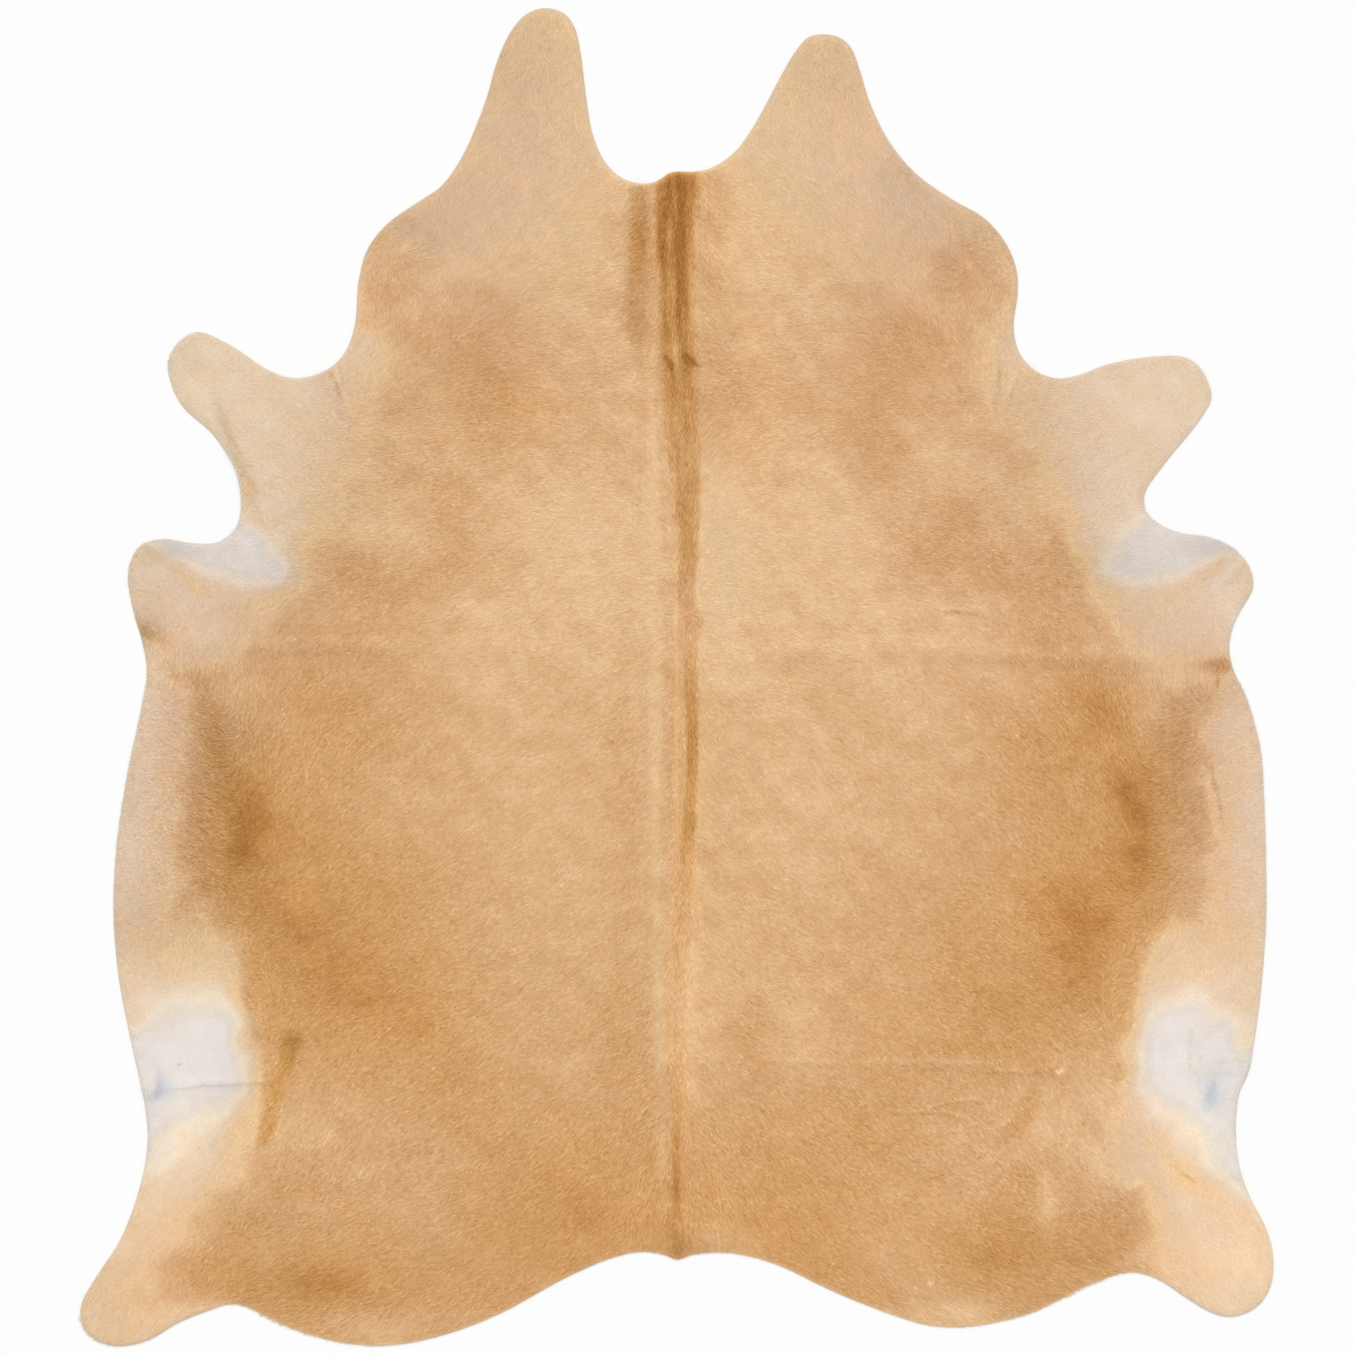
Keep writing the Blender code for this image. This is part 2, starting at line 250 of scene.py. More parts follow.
def skin_top(points):
    """Height of the skin's hair side: its lift, and the leather, which is a little thinner at the cut edge."""
    edge = np.clip(inward(points) / EDGE_ROLL, 0, 1)
    return lift(points) + CUT_LEATHER + (LEATHER - CUT_LEATHER) * np.sqrt(edge)


def bells(points, table):
    """The changes of a table's places, added up. Each is a soft oval bell, whole at its middle, that falls off as
    e to the power of minus the squares of the distances across and along it, counted in its two reaches."""
    total = np.zeros(len(points))
    for places in table.values():
        for x, y, along, across, change, *turn in places:
            angle = math.radians(sum(turn))
            away = points - (x * MM, y * MM)
            u = away[:, 0] * math.cos(angle) + away[:, 1] * math.sin(angle)
            v = away[:, 1] * math.cos(angle) - away[:, 0] * math.sin(angle)
            total += change * np.exp(-(u / (along * MM)) ** 2 - (v / (across * MM)) ** 2)
    return total


def coat_depth(points):
    """Depth of the flat-lying coat: its usual depth and the deeper and thinner places, drawn down towards the cut
    edge as a quarter of a circle."""
    edge = np.clip(inward(points) / EDGE_ROLL, 0.05, 1)
    return np.maximum(COAT + MM * bells(points, DEPTHS), THINNEST_COAT) * np.sqrt(edge)


def shape(name, places, faces, looks, groups=None, smooth=None):
    """A mesh object from whole arrays: places, then faces as rows of corner numbers, each group of faces with its
    own look."""
    mesh = bpy.data.meshes.new(name)
    mesh.vertices.add(len(places))
    mesh.vertices.foreach_set("co", np.asarray(places, np.float32).ravel())
    mesh.loops.add(faces.size)
    mesh.loops.foreach_set("vertex_index", faces.astype(np.int32).ravel())
    mesh.polygons.add(len(faces))
    mesh.polygons.foreach_set("loop_start", np.arange(0, faces.size, faces.shape[1], dtype=np.int32))
    for look in looks:
        mesh.materials.append(look)
    if groups is not None:
        mesh.polygons.foreach_set("material_index", groups.astype(np.int32))
    if smooth is None:
        smooth = np.zeros(len(faces), bool)
    mesh.polygons.foreach_set("use_smooth", smooth)
    mesh.update(calc_edges=True)
    mesh.validate()
    piece = bpy.data.objects.new(name, mesh)
    bpy.context.collection.objects.link(piece)
    return piece


COAT_NUMBERS = ("tone", "light", "rosy", "shade")
# The hair side of the skin, where it shows between the locks, is darker: painted shade in the gaps.
SKIN_PAINTED_SHADE = -0.04


def write(piece, *numbers):
    """The coat's numbers for each corner point of the piece, each under its name, which the look of the hair
    reads."""
    for name, values in zip(COAT_NUMBERS, numbers):
        layer = piece.data.attributes.new(name, "FLOAT", "POINT")
        layer.data.foreach_set("value", np.asarray(values, np.float32))


def spread(piece, places):
    """The piece's flat map for its surface pictures: one place for each corner of each face."""
    layer = piece.data.uv_layers.new(name="OFBake")
    corners = np.empty(len(piece.data.loops), np.int32)
    piece.data.loops.foreach_get("vertex_index", corners)
    layer.data.foreach_set("uv", np.asarray(places, np.float32)[corners].ravel())


# The coat's own tone: how deep its colour is, from 0, the lilac white of the groins, over 25, the
# cream of the legs, and 42, the tan of the back, to 64, the darkest brown. First down the back, by y.
BACK = (
    (1150, 34), (1000, 33), (900, 32), (755, 36), (573, 39), (482, 41), (391, 39), (260, 36), (118, 37),
    (-64, 40), (-337, 41), (-610, 43), (-792, 47), (-930, 50), (-1100, 48),
)
DARKEST = 64

# Places of another tone.
TONES = {
    "shoulders": ((-320, 490, 75, 125, 6, 12), (-400, 590, 70, 45, 4), (-540, 545, 45, 50, -10), (400, 575, 85, 60, 6),
        (345, 400, 55, 130, 5), (578, 545, 45, 50, -9)),
    "elbows": ((-570, 420, 50, 60, -3), (590, 445, 60, 50, -4)),
    "neck": ((-490, 680, 45, 60, 5), (-350, 775, 90, 60, -5), (400, 800, 120, 70, -4, -25), (492, 700, 60, 85, 5)),
    "beside the stripe": ((-105, 760, 45, 110, 1), (62, 700, 42, 260, 3), (75, 850, 70, 50, 2)),
    "beside the spine": ((78, 180, 40, 220, -3), (-92, -200, 28, 260, 3), (75, -580, 45, 170, -3)),
    "ribs": ((-385, 260, 60, 70, 7), (-440, 335, 70, 45, 3), (-300, 200, 50, 50, 3), (-420, 175, 90, 35, 5),
        (-510, 130, 120, 60, 4), (-590, -50, 150, 190, 8), (490, 245, 110, 60, 6), (560, 180, 150, 45, 5),
        (640, 110, 110, 80, 6), (650, -110, 110, 110, 8), (715, -10, 90, 40, 4), (405, 200, 50, 55, 3)),
    "leg pits": ((-565, 195, 60, 45, 6), (665, 235, 40, 38, 6)),
    "flanks": ((-738, -235, 60, 120, 14), (-746, -280, 80, 24, 5, 75), (-645, -270, 75, 65, 6),
        (-815, -255, 40, 110, 5), (-665, -400, 110, 90, 10, -30), (720, -40, 50, 45, 5), (815, -65, 30, 60, -4),
        (800, -190, 65, 130, 11), (784, -232, 100, 32, 6, -70), (795, -325, 45, 45, 5), (872, -100, 35, 120, 4),
        (690, -395, 130, 110, 14), (705, -95, 50, 55, 3)),
    "loin": ((-490, -350, 120, 90, 6), (-560, -540, 180, 120, 11), (-430, -600, 60, 50, 4), (570, -570, 170, 90, 7),
        (690, -510, 60, 80, 5), (490, -430, 45, 100, 3)),
    "rump": ((-390, -690, 60, 50, 4), (-440, -915, 75, 90, -6), (-610, -1045, 100, 40, 8),
        (-160, -920, 85, 60, 4, -50), (-140, -820, 60, 40, 2), (340, -780, 80, 70, 3), (400, -930, 90, 150, -5),
        (560, -990, 80, 40, 5), (-490, -1128, 120, 34, -7), (480, -1100, 100, 38, -9), (-742, -1020, 16, 22, 4),
        (-700, -992, 34, 22, -4)),
    "thighs": ((-640, -775, 130, 60, -6), (620, -790, 150, 60, -7), (700, -710, 60, 50, -4), (745, -820, 55, 110, -3)),
    "hocks": ((-650, -920, 150, 60, -5), (700, -880, 90, 60, -5), (640, -918, 28, 40, -6)),
    "croup and tail": ((-100, -600, 50, 80, 3), (-170, -670, 40, 30, -3), (70, -965, 40, 30, -5),
        (195, -620, 55, 100, -3), (505, -885, 50, 45, -4)),
    "belly": ((650, -230, 150, 90, 4),),
    "back": ((220, -240, 90, 130, -2), (400, -400, 100, 120, 2)),
    "withers": ((100, 475, 55, 80, 3),),
    "waist": ((620, 52, 90, 22, 3),),
}

# Pale hair with an outline of its own. Each: its tone, then x, y and the width of its soft edge, round it.
PALE = {
    "left front leg": (24, ((-1000, 640, 100), (-590, 640, 140), (-573, 482, 160), (-605, 391, 180), (-630, 300, 130),
        (-650, 240, 90), (-1000, 240, 90))),
    "right front leg": (24, ((1000, 640, 100), (600, 640, 160), (630, 482, 170), (650, 391, 150), (668, 300, 120),
        (700, 240, 90), (1000, 240, 90))),
    "left flap": (27, ((-1010, 260, 90), (-662, 250, 90), (-672, 165, 90), (-708, 122, 110), (-740, 95, 130),
        (-757, 60, 130), (-785, 22, 80), (-850, 2, 50), (-1010, -10, 50))),
    "right flap": (27, ((1040, 260, 90), (690, 250, 90), (722, 170, 90), (762, 125, 110), (785, 90, 120),
        (797, 60, 110), (830, 28, 70), (880, 18, 60), (1040, 30, 60))),
    "left belly": (25, ((-1020, 10, 50), (-885, 10, 60), (-850, -45, 120), (-872, -120, 140), (-874, -200, 140),
        (-880, -260, 140), (-890, -330, 140), (-858, -395, 150), (-790, -422, 100), (-771, -470, 80), (-758, -530, 62),
        (-745, -600, 60), (-1020, -600, 60))),
    "right belly": (25, ((1050, 0, 50), (960, 0, 50), (932, -50, 80), (922, -95, 90), (926, -150, 120),
        (935, -220, 130), (938, -270, 130), (930, -340, 130), (895, -390, 110), (845, -430, 70), (812, -470, 60),
        (800, -530, 50), (795, -620, 50), (1050, -620, 50))),
    "left hind leg": (30, ((-1080, -720, 60), (-800, -720, 60), (-745, -790, 120), (-728, -835, 140),
        (-745, -880, 150), (-805, -925, 150), (-852, -970, 150), (-875, -1020, 140), (-850, -1060, 110),
        (-790, -1085, 80), (-740, -1110, 60), (-740, -1160, 60), (-1080, -1160, 100))),
    "right hind leg": (28, ((1080, -700, 60), (790, -700, 90), (752, -750, 110), (738, -800, 120), (755, -850, 130),
        (795, -890, 120), (820, -950, 110), (828, -1010, 110), (820, -1050, 90), (910, -1150, 90), (1080, -1150, 90))),
    "left leg pit": (10, ((-780, 300, 60), (-736, 262, 60), (-712, 246, 70), (-694, 229, 100), (-686, 207, 110),
        (-692, 184, 90), (-718, 167, 70), (-755, 165, 60), (-800, 176, 50), (-835, 192, 40), (-868, 206, 40),
        (-905, 228, 30), (-905, 300, 30))),
    "right leg pit": (10, ((800, 300, 50), (785, 262, 70), (752, 240, 110), (742, 210, 110), (740, 185, 90),
        (757, 165, 70), (800, 160, 70), (850, 168, 60), (885, 188, 40), (915, 202, 40), (960, 215, 40),
        (975, 300, 40))),
    "left groin": (7, ((-1010, -596, 110), (-930, -594, 120), (-885, -570, 130), (-840, -556, 140), (-800, -553, 130),
        (-770, -570, 90), (-751, -602, 90), (-740, -650, 80), (-737, -690, 80), (-745, -718, 80), (-768, -738, 95),
        (-794, -764, 110), (-820, -790, 140), (-855, -812, 170), (-905, -845, 170), (-1010, -866, 150))),
    "right groin": (6, ((1040, -630, 110), (975, -620, 120), (923, -582, 120), (880, -558, 130), (840, -562, 110),
        (814, -582, 85), (799, -606, 90), (787, -660, 85), (793, -700, 90), (812, -732, 90), (840, -754, 100),
        (869, -792, 110), (898, -836, 100), (948, -878, 100), (1040, -908, 100))),
}

# Patches laid over all of these.
PATCHES = {
    "belly": ((-855, -450, 100, 78, 10), (912, -430, 90, 85, 9), (972, -130, 32, 75, 4), (910, -250, 24, 50, 3)),
    "flank flaps": ((-880, 50, 50, 40, 4), (-900, 175, 40, 30, -3), (955, 120, 35, 70, -4), (-815, 22, 60, 26, 5),
        (890, 42, 90, 22, 5), (905, 165, 40, 30, -3), (845, 140, 50, 34, 3), (-765, 112, 42, 20, 3)),
    "front legs": ((-660, 430, 30, 60, 3), (715, 420, 40, 60, 3)),
    "groins": ((-888, -712, 22, 26, -6, -25), (918, -720, 18, 40, -6, -10), (-845, -778, 70, 30, 4, 30),
        (-820, -732, 50, 22, 3), (900, -790, 75, 36, 9, -40), (838, -518, 32, 46, 5), (905, -872, 90, 26, 8, -35),
        (-774, -744, 26, 26, -8), (-752, -462, 24, 44, -4, 10)),
    "hip mark": ((-733, -730, 18, 60, -6, 12),),
    "hind legs": ((-905, -1064, 85, 50, 8), (882, -1025, 52, 42, 5)),
    "hocks": ((-770, -905, 50, 42, 4), (792, -905, 45, 40, 2)),
    "thighs": ((-530, -850, 50, 42, -4), (612, -730, 40, 30, -3), (732, -790, 34, 30, 4)),
    "flanks": ((868, -2, 40, 20, -5), (850, -370, 40, 36, -4)),
    "loin": ((792, -520, 28, 48, -2),),
    "ribs": ((490, 290, 40, 40, 5), (738, -80, 38, 38, 4)),
    "croup and tail": ((130, -610, 40, 42, 4),),
    "beside the stripe": ((-75, 492, 36, 60, -2),),
    "rump": ((790, -1006, 30, 28, -8),),
    "leg pits": ((-682, 175, 52, 26, -8), (550, 482, 30, 44, -4), (672, 312, 22, 44, 3)),
}

# Streaks: x, y, half width and, if any, the changes of tone and of light at each place along them. They are soft
# over all of their half width, apart from those named first, which are over this share of it.
SOFT = {
    "spine stripe": 0.5, "band beside the stripe": 0.9, "tail line": 0.9, "hip mark": 0.65,
    "right thigh mark": 0.8,
}
STREAKS = {
    "light of the spine": ((20, 570, 130), (10, 500, 130, 0, 2), (10, 380, 130, 0, 2), (10, 200, 130, 0, 3),
        (10, 100, 110, 0, 1), (20, -40, 60, 0, 1), (25, -140, 50, 0, 6), (20, -260, 50, 0, 5), (20, -400, 60, 0, 5),
        (20, -640, 70, 0, 6), (10, -780, 50, 0, 4), (0, -860, 40)),
    "ground of the stripe": ((-10, 880, 130, 9), (-10, 750, 130, 8), (-10, 650, 120, 4), (-5, 570, 110, 2),
        (0, 480, 90)),
    "spine stripe": ((2, 880, 48, 15), (0, 840, 48, 16, 2), (-3, 800, 43, 15, 3), (-4, 740, 41, 13, 3),
        (-3, 690, 37, 12, 2), (-2, 640, 36, 13, 2), (0, 580, 39, 13, 1), (2, 540, 40, 12), (5, 500, 39, 11),
        (7, 470, 38, 10), (7, 430, 38, 9, -1), (14, 370, 34, 9, -2), (18, 310, 29, 10, -2), (21, 250, 23, 12, -1),
        (21, 200, 20, 9), (14, 140, 22, 4, -3), (18, 118, 20, 3, -2), (31, 95, 20, 8), (24, 60, 18, 4),
        (23, 25, 16, 8), (25, -35, 14, 10, -1), (27, -100, 13, 15, -3), (27, -150, 13, 12, -2), (24, -190, 13, 10, -2),
        (22, -255, 14, 11, -2), (16, -305, 17, 6), (10, -380, 18, 3), (8, -470, 20, 2), (8, -520, 20)),
    "spine stripe, shade": ((4, 320, 46, 4), (6, 0, 46, 3), (6, -200, 46, 4), (6, -330, 44, 3), (4, -500, 40)),
    "spine stripe, dark line": ((8, 872, 12, 3), (8, 830, 13, 10, 2), (5, 780, 14, 12, 3), (5, 700, 15, 13, 3),
        (6, 640, 14, 8, 4), (8, 600, 14, 4, 3), (12, 570, 15, 2), (16, 530, 14, 3, 2), (17, 500, 12, 4, 3),
        (18, 400, 12, 2, 2), (20, 300, 12)),
    "spine stripe, left line": ((-16, 872, 12, 4, -4), (-15, 820, 13, 5, -1), (-20, 790, 13, 5), (-26, 760, 12, 6),
        (-25, 700, 11, 5, 1), (-22, 640, 11, 4), (-22, 600, 11, 4), (-20, 560, 10, 2), (-16, 520, 9, 2),
        (-12, 480, 10, 2), (-12, 440, 10)),
    "spine stripe, left edge": ((-33, 866, 9, 2, -2), (-34, 800, 9, 4, -3), (-31, 740, 9, 4, -2), (-29, 690, 8)),
    "spine stripe, pale line": ((-8, 800, 7), (-9, 770, 8, -2, -1), (-10, 700, 8, -1, -2), (-6, 620, 9, -1, -1),
        (-3, 560, 11, -3), (1, 530, 10, -2), (2, 490, 8)),
    "withers tuft, right": ((5, 549, 7, 3), (14, 549, 10, 16, -4), (28, 540, 11, 19, -4), (42, 533, 7, 8, -2)),
    "withers tuft, left": ((-32, 553, 7, 2), (-22, 550, 9, 10, -2), (-14, 540, 8, 18, -6), (-10, 532, 8, 20, -8),
        (-9, 525, 5, 2)),
    "band beside the stripe": ((-66, 862, 22, 1, -6), (-66, 820, 26, 9, -4), (-66, 755, 26, 13, -2),
        (-66, 690, 32, 10, -2), (-72, 640, 34, 8, -5), (-70, 600, 32, 7, -5), (-66, 570, 24, 5, -4), (-62, 510, 22)),
    "pale strip, left": ((-46, 600, 14), (-45, 540, 15, -1, 4), (-43, 460, 18, -2, 5), (-42, 300, 20, -2, 1),
        (-38, 0, 18, -3, 1), (-36, -300, 18, -3, -1), (-32, -600, 18, -5, -2), (-28, -700, 18, -4, -2),
        (-28, -770, 16, -4, -2), (-28, -835, 16, -8, -1), (-30, -890, 14)),
    "pale strip, right": ((28, -440, 24), (30, -500, 30, -3), (30, -620, 30, -3), (30, -720, 26, -3), (30, -780, 22)),
    "tail line": ((-2, -640, 14), (-1, -700, 14, 3), (-1, -760, 13, 6, 2), (-1, -800, 13, 8, 3), (-1, -850, 13, 9, 3),
        (-2, -910, 14, 7, 2), (-4, -940, 22, 4), (4, -965, 26, 5), (4, -1000, 24, 4, -3)),
    "hip mark": ((-656, -590, 20), (-661, -625, 26, 9, -2), (-672, -660, 22, 9, 7), (-684, -700, 20, 8, 10),
        (-694, -735, 19, 9, 9), (-704, -770, 20, 11, 4), (-712, -795, 16, 13, 2), (-717, -808, 11, 6),
        (-719, -816, 8)),
    "right thigh mark": ((618, -688, 14), (612, -715, 20, 5), (604, -750, 24, 8, 1), (585, -774, 24, 9, 1),
        (560, -794, 18, 3), (545, -804, 12)),
    "left meeting line": ((-850, -2, 24, 3, -3), (-820, -18, 34, 5, -3), (-806, -60, 42, 6, 1), (-792, -110, 44, 8, 4),
        (-782, -150, 42, 7, 3), (-775, -200, 36, 3), (-770, -240, 30)),
    "left rim spot": ((-940, 78, 34, 14, -14), (-906, 73, 31, 14, -14), (-882, 65, 24, 8, -8), (-856, 58, 18, 3, -4),
        (-830, 54, 14)),
    "left rim spot, low": ((-872, 36, 14), (-871, 20, 18, 7, -7), (-866, 0, 18, 5, -7), (-860, -14, 14)),
    "left rim spot, third": ((-840, 34, 14), (-836, 14, 20, 2, -4), (-824, -10, 22, 2, -4), (-800, -22, 16)),
    "right rim spot": ((970, 22, 24, 10, -12), (930, 22, 26, 11, -13), (900, 20, 22, 5, -7), (872, 18, 16)),
    "right rim spot, low": ((932, 8, 4, 1, -4), (930, -6, 5, 9, -18), (929, -22, 4, 3, -8)),
    "left pit dash": ((-886, 200, 12, 1), (-858, 180, 20, 5), (-825, 154, 21, 5), (-792, 130, 16, 1)),
    "right pit dash": ((862, 146, 14, 1), (900, 166, 20, 5), (928, 194, 16, 6, -2), (946, 214, 10, 2, -2)),
    "right flap, blue wisp": ((972, 204, 10, -4), (950, 184, 14, -7, -2), (930, 160, 12, -3, -1), (916, 144, 8)),
    "left leg rim": ((-738, 356, 14, 3), (-735, 322, 18, 9), (-736, 294, 14, 3)),
    "right leg rim": ((802, 326, 12, 3), (798, 300, 18, 11), (806, 276, 12, 3)),
    # Painted shade along the crease of the left front leg and in the wrinkles of the leg pits, with painted highlight
    # on the wrinkles' lit sides.
    "left leg crease": ((-798, 492, 10, 1, -2), (-777, 436, 16, 4, -9), (-754, 377, 17, 4, -9), (-732, 333, 16, 4, -8),
        (-720, 282, 10, 1, -2)),
    "left pit wrinkle": ((-601, 536, 5, 3, -8), (-593, 516, 5, 5, -18), (-587, 505, 5, 6, -22), (-581, 488, 5, 5, -18),
        (-574, 470, 5, 1, -4)),
    "left pit wrinkle, light": ((-590, 536, 6, -1, 4), (-580, 506, 6, -2, 8), (-572, 486, 6, -2, 8),
        (-563, 462, 6, 0, 2)),
    "left pit wrinkle, second": ((-582, 545, 4, 2, -6), (-579, 524, 4, 4, -12), (-575, 503, 4, 3, -10),
        (-571, 490, 4)),
    "left pit wrinkle, third": ((-596, 462, 8), (-580, 455, 9, 3, -5), (-558, 440, 8, 2, -4), (-540, 430, 8)),
    "right pit wrinkle": ((555, 556, 6, 1, -4), (555, 530, 6, 5, -14), (554, 495, 6, 5, -14), (549, 466, 7, 4, -8),
        (548, 440, 8)),
    "right pit wrinkle, light": ((586, 534, 5, 0, 2), (577, 506, 6, -2, 8), (568, 488, 7, -2, 7), (562, 462, 6)),
    "right pit wrinkle, second": ((592, 530, 5, 1, -4), (584, 510, 5, 5, -14), (576, 486, 5, 4, -12), (570, 466, 5)),
    # Painted shade in the crease of the left groin, along the rump fold.
    "left groin crease": ((-900, -718, 3.5, 1, -8), (-873, -712, 3.5, 4, -20), (-820, -704, 3.5, 5, -22),
        (-760, -702, 3.5, 4, -20), (-716, -700, 3.5, 2, -12), (-690, -700, 3.5)),
    "left groin, brow": ((-838, -404, 14), (-790, -440, 20, -1), (-762, -480, 20, -2, -9), (-748, -520, 18, -3, -7),
        (-740, -560, 15, -2, -8), (-731, -600, 17, 3, -19), (-728, -640, 15, 0, -8), (-721, -685, 16, -8, -3),
        (-720, -712, 10)),
    "left groin, blue": ((-892, -672, 9, -1, -5), (-889, -698, 10, -3, -10), (-894, -718, 13, -3, -12),
        (-904, -736, 9, -1, -4)),
    "left groin speck": ((-858, -668, 5, 6, -40), (-855, -666, 5, 6, -40)),
    # Painted shade in the crease of the right groin and in the two fine lines of its fold.
    "right groin crease": ((888, -596, 6), (884, -618, 9, 6, -6), (880, -660, 9, 6, -7), (885, -699, 9, 5, -5),
        (889, -722, 6)),
    "right groin, upper line": ((889, -660, 3.5, 1, -7), (987, -661, 3.5, 1, -7)),
    "right groin, lower line": ((889, -682, 3.5, 1, -7), (972, -682, 3.5, 1, -7)),
    "right groin, foot line": ((798, -780, 7), (812, -800, 9, 8, -4), (822, -812, 5, 2), (846, -834, 5, 3, -4),
        (860, -846, 6, 5, -5), (876, -858, 6, 5, -4), (892, -868, 6, 3, -2), (906, -880, 5)),
    "right groin, blue": ((926, -688, 8, -1, -6), (916, -720, 13, -3, -12), (907, -752, 9, -1, -4)),
    "right groin scratch": ((943, -727, 3, 3, -16), (957, -727, 3, 3, -16)),
    # Painted shade in a crease of the right flank, with painted highlight beside it.
    "right flank crease": ((917, -138, 5, 1, -3), (925, -180, 6, 7, -16), (934, -220, 6, 7, -16),
        (939, -250, 5, 3, -8), (948, -300, 5, 1, -3)),
    "right flank crease, light": ((908, -150, 7), (914, -190, 9, -2, 4), (922, -240, 9, -2, 4), (932, -300, 7)),
    # Along the rump and waist folds: painted highlight on their crests and painted shade beside them.
    "rump fold, bright line": ((144, -657, 8, -1, 2), (300, -660, 9, -2, 5), (440, -659, 8, -2, 5),
        (580, -664, 7, -1, 4), (700, -670, 7, -1, 2), (780, -672, 6)),
    "rump fold, upper shade": ((370, -634, 20), (440, -636, 22, 4), (540, -638, 22, 3), (640, -642, 20)),
    "rump fold, shade": ((300, -678, 9), (440, -676, 9, 1, -4), (580, -682, 8, 1, -4), (700, -686, 8)),
    "waist fold, right, bright line": ((380, 54, 14), (440, 54, 16, -1, 2), (600, 47, 15, -2, 2), (760, 42, 14, -1, 2),
        (860, 40, 12)),
    "waist fold, right, shade": ((400, 30, 12), (500, 27, 13, 1, -3), (640, 22, 13, 1, -3), (800, 18, 12, 0, -2),
        (880, 16, 10)),
    "waist fold, left, bright line": ((-430, 62, 12), (-560, 64, 13, -1, 3), (-700, 64, 13, -1, 3), (-800, 60, 10)),
    "waist fold, left, shade": ((-430, 38, 12), (-560, 40, 13, 1, -4), (-700, 40, 13, 1, -4), (-800, 36, 10)),
    "right hock, pale patch": ((634, -840, 16), (636, -880, 26, -3, 3), (640, -930, 27, -4, 4), (644, -970, 16)),
    # A spot of painted highlight on the rump fold.
    "rump fold, bright spot": ((553, -675, 6, -2, 3), (578, -676, 9, -4, 5), (603, -679, 6, -3, 3)),
    "white speck": ((656, -680, 7, -18, 26), (662, -676, 7, -18, 26)),
    "white speck, low": ((434, -1042, 6, -8, 12), (440, -1042, 6, -8, 12)),
    "rump dash": ((418, -866, 5, 1), (440, -862, 6, 6, -4), (462, -856, 5, 1)),
    "ochre dash": ((452, 111, 6, 3), (485, 110, 8, 9, -4), (522, 107, 5, 2)),
}

# Old scratches, grown over: each a thin line of painted highlight, with painted shade just below. x, y in mm.
SCRATCHES = (
    ((430, -742), (452, -733), (478, -727), (504, -725), (528, -728)),
    ((405, -747), (440, -745), (466, -747), (492, -757)),
    ((-560, -677), (-528, -675), (-498, -681)),
    ((-500, -699), (-468, -703), (-436, -710)),
    ((-403, -750), (-414, -758), (-424, -767)),
    ((-40, -733), (-60, -748)),
)


def wander(points, size, seed):
    """A smooth uneven number from about -1 to 1: five waves of about one size, each with its own direction."""
    waves = np.random.default_rng(seed)
    total = np.zeros(len(points))
    for _ in range(5):
        turn, start = waves.uniform(0, math.tau, 2)
        pace = math.tau / (size * MM * waves.uniform(0.7, 1.5))
        total += np.sin((points[:, 0] * math.cos(turn) + points[:, 1] * math.sin(turn)) * pace + start)
    return total / 2.6


def streak(points, route, soft):
    """The points near a route, and the changes of tone and light there: whole in the middle, less over the soft
    share of its half width."""
    route = np.array([(*place, 0, 0)[:5] for place in route])
    places, half = route[:, :2] * MM, route[:, 2] * MM
    some = near_route(points, places, half.max())
    gap, at = beside(points[some], places)
    steps = np.arange(len(route))
    share = np.clip((1 - gap / np.interp(at, steps, half)) / soft, 0, 1)
    share = share * share * (3 - 2 * share)
    return some, [np.interp(at, steps, route[:, n]) * share for n in (3, 4)]


def pale_share(points, outline):
    """The points near an outline, and how much its pale hair counts there: a smooth step across its soft edge, that
    wavers a little."""
    outline = np.array(outline) * MM
    some = near_route(points, outline[:, :2], 80 * MM)
    ring = np.vstack([outline, outline[:1]])
    gap, at = beside(points[some], ring[:, :2])
    soft = np.interp(at, np.arange(len(ring)), ring[:, 2])
    deep = np.where(within(points[some], outline[:, :2]), gap, -gap) + 0.05 * soft * wander(points[some], 70, 8)
    share = np.clip(deep / soft + 0.5, 0, 1)
    return some, share * share * (3 - 2 * share)


def strands(points):
    """Fine strands down the spine stripe: waves a few millimetres wide and ten times as long, whole in the stripe
    and gone 50 mm from its middle."""
    narrow = points * (1, 0.1)
    weight = np.exp(-((points[:, 0] / MM - 5) / 30) ** 2) * np.clip(points[:, 1] / (400 * MM), 0.3, 1)
    return weight * (wander(narrow, 9, 21) + wander(narrow, 5, 22))


def coat_colour(points):
    """Tone of the coat, how light it is for its tone, 1 being usual, and how rosy. The tone starts from that of the
    back at this height; the named places' bells, the pale parts, the patches, the streaks and the scratches come
    over it in turn. At the cut edge, where the hair is thin and turned down, it is greyer, and darker: partly its
    own colour and partly painted shade, against the light that the turned-down rim catches."""
    back = np.array(BACK[::-1])
    tone = np.interp(points[:, 1], back[:, 0] * MM, back[:, 1]) + bells(points, TONES)
    light = bells(points, LIGHTS)
    for own, outline in PALE.values():
        some, share = pale_share(points, outline)
        tone[some] += (own - tone[some]) * share
    tone += bells(points, PATCHES)
    lines = [(route, SOFT.get(name, 1.0)) for name, route in STREAKS.items()]
    # Each scratch: a line of painted highlight and, 6 mm below it, a line of painted shade.
    for scratch in SCRATCHES:
        lines.append(([(x, y, 4, -1, SCRATCH_PAINTED_LIGHT) for x, y in scratch], 1.0))
        lines.append(([(x, y - 6, 4, 1, -SCRATCH_PAINTED_LIGHT) for x, y in scratch], 1.0))
    for line in lines:
        some, changes = streak(points, *line)
        tone[some] += changes[0]
        light[some] += changes[1]
    thin = np.clip(1 - inward(points) / EDGE_ROLL, 0, 1) ** 2
    fine = strands(points)
    tone += STRAND_TONE * fine
    light += coat_clouds(points) - THIN_PAINTED_SHADE * thin - STRAND_LIGHT * fine
    return tone * (1 - THIN_TONE * thin), 1 + light / USUAL_LIGHT, bells(points, ROSY) / FULL


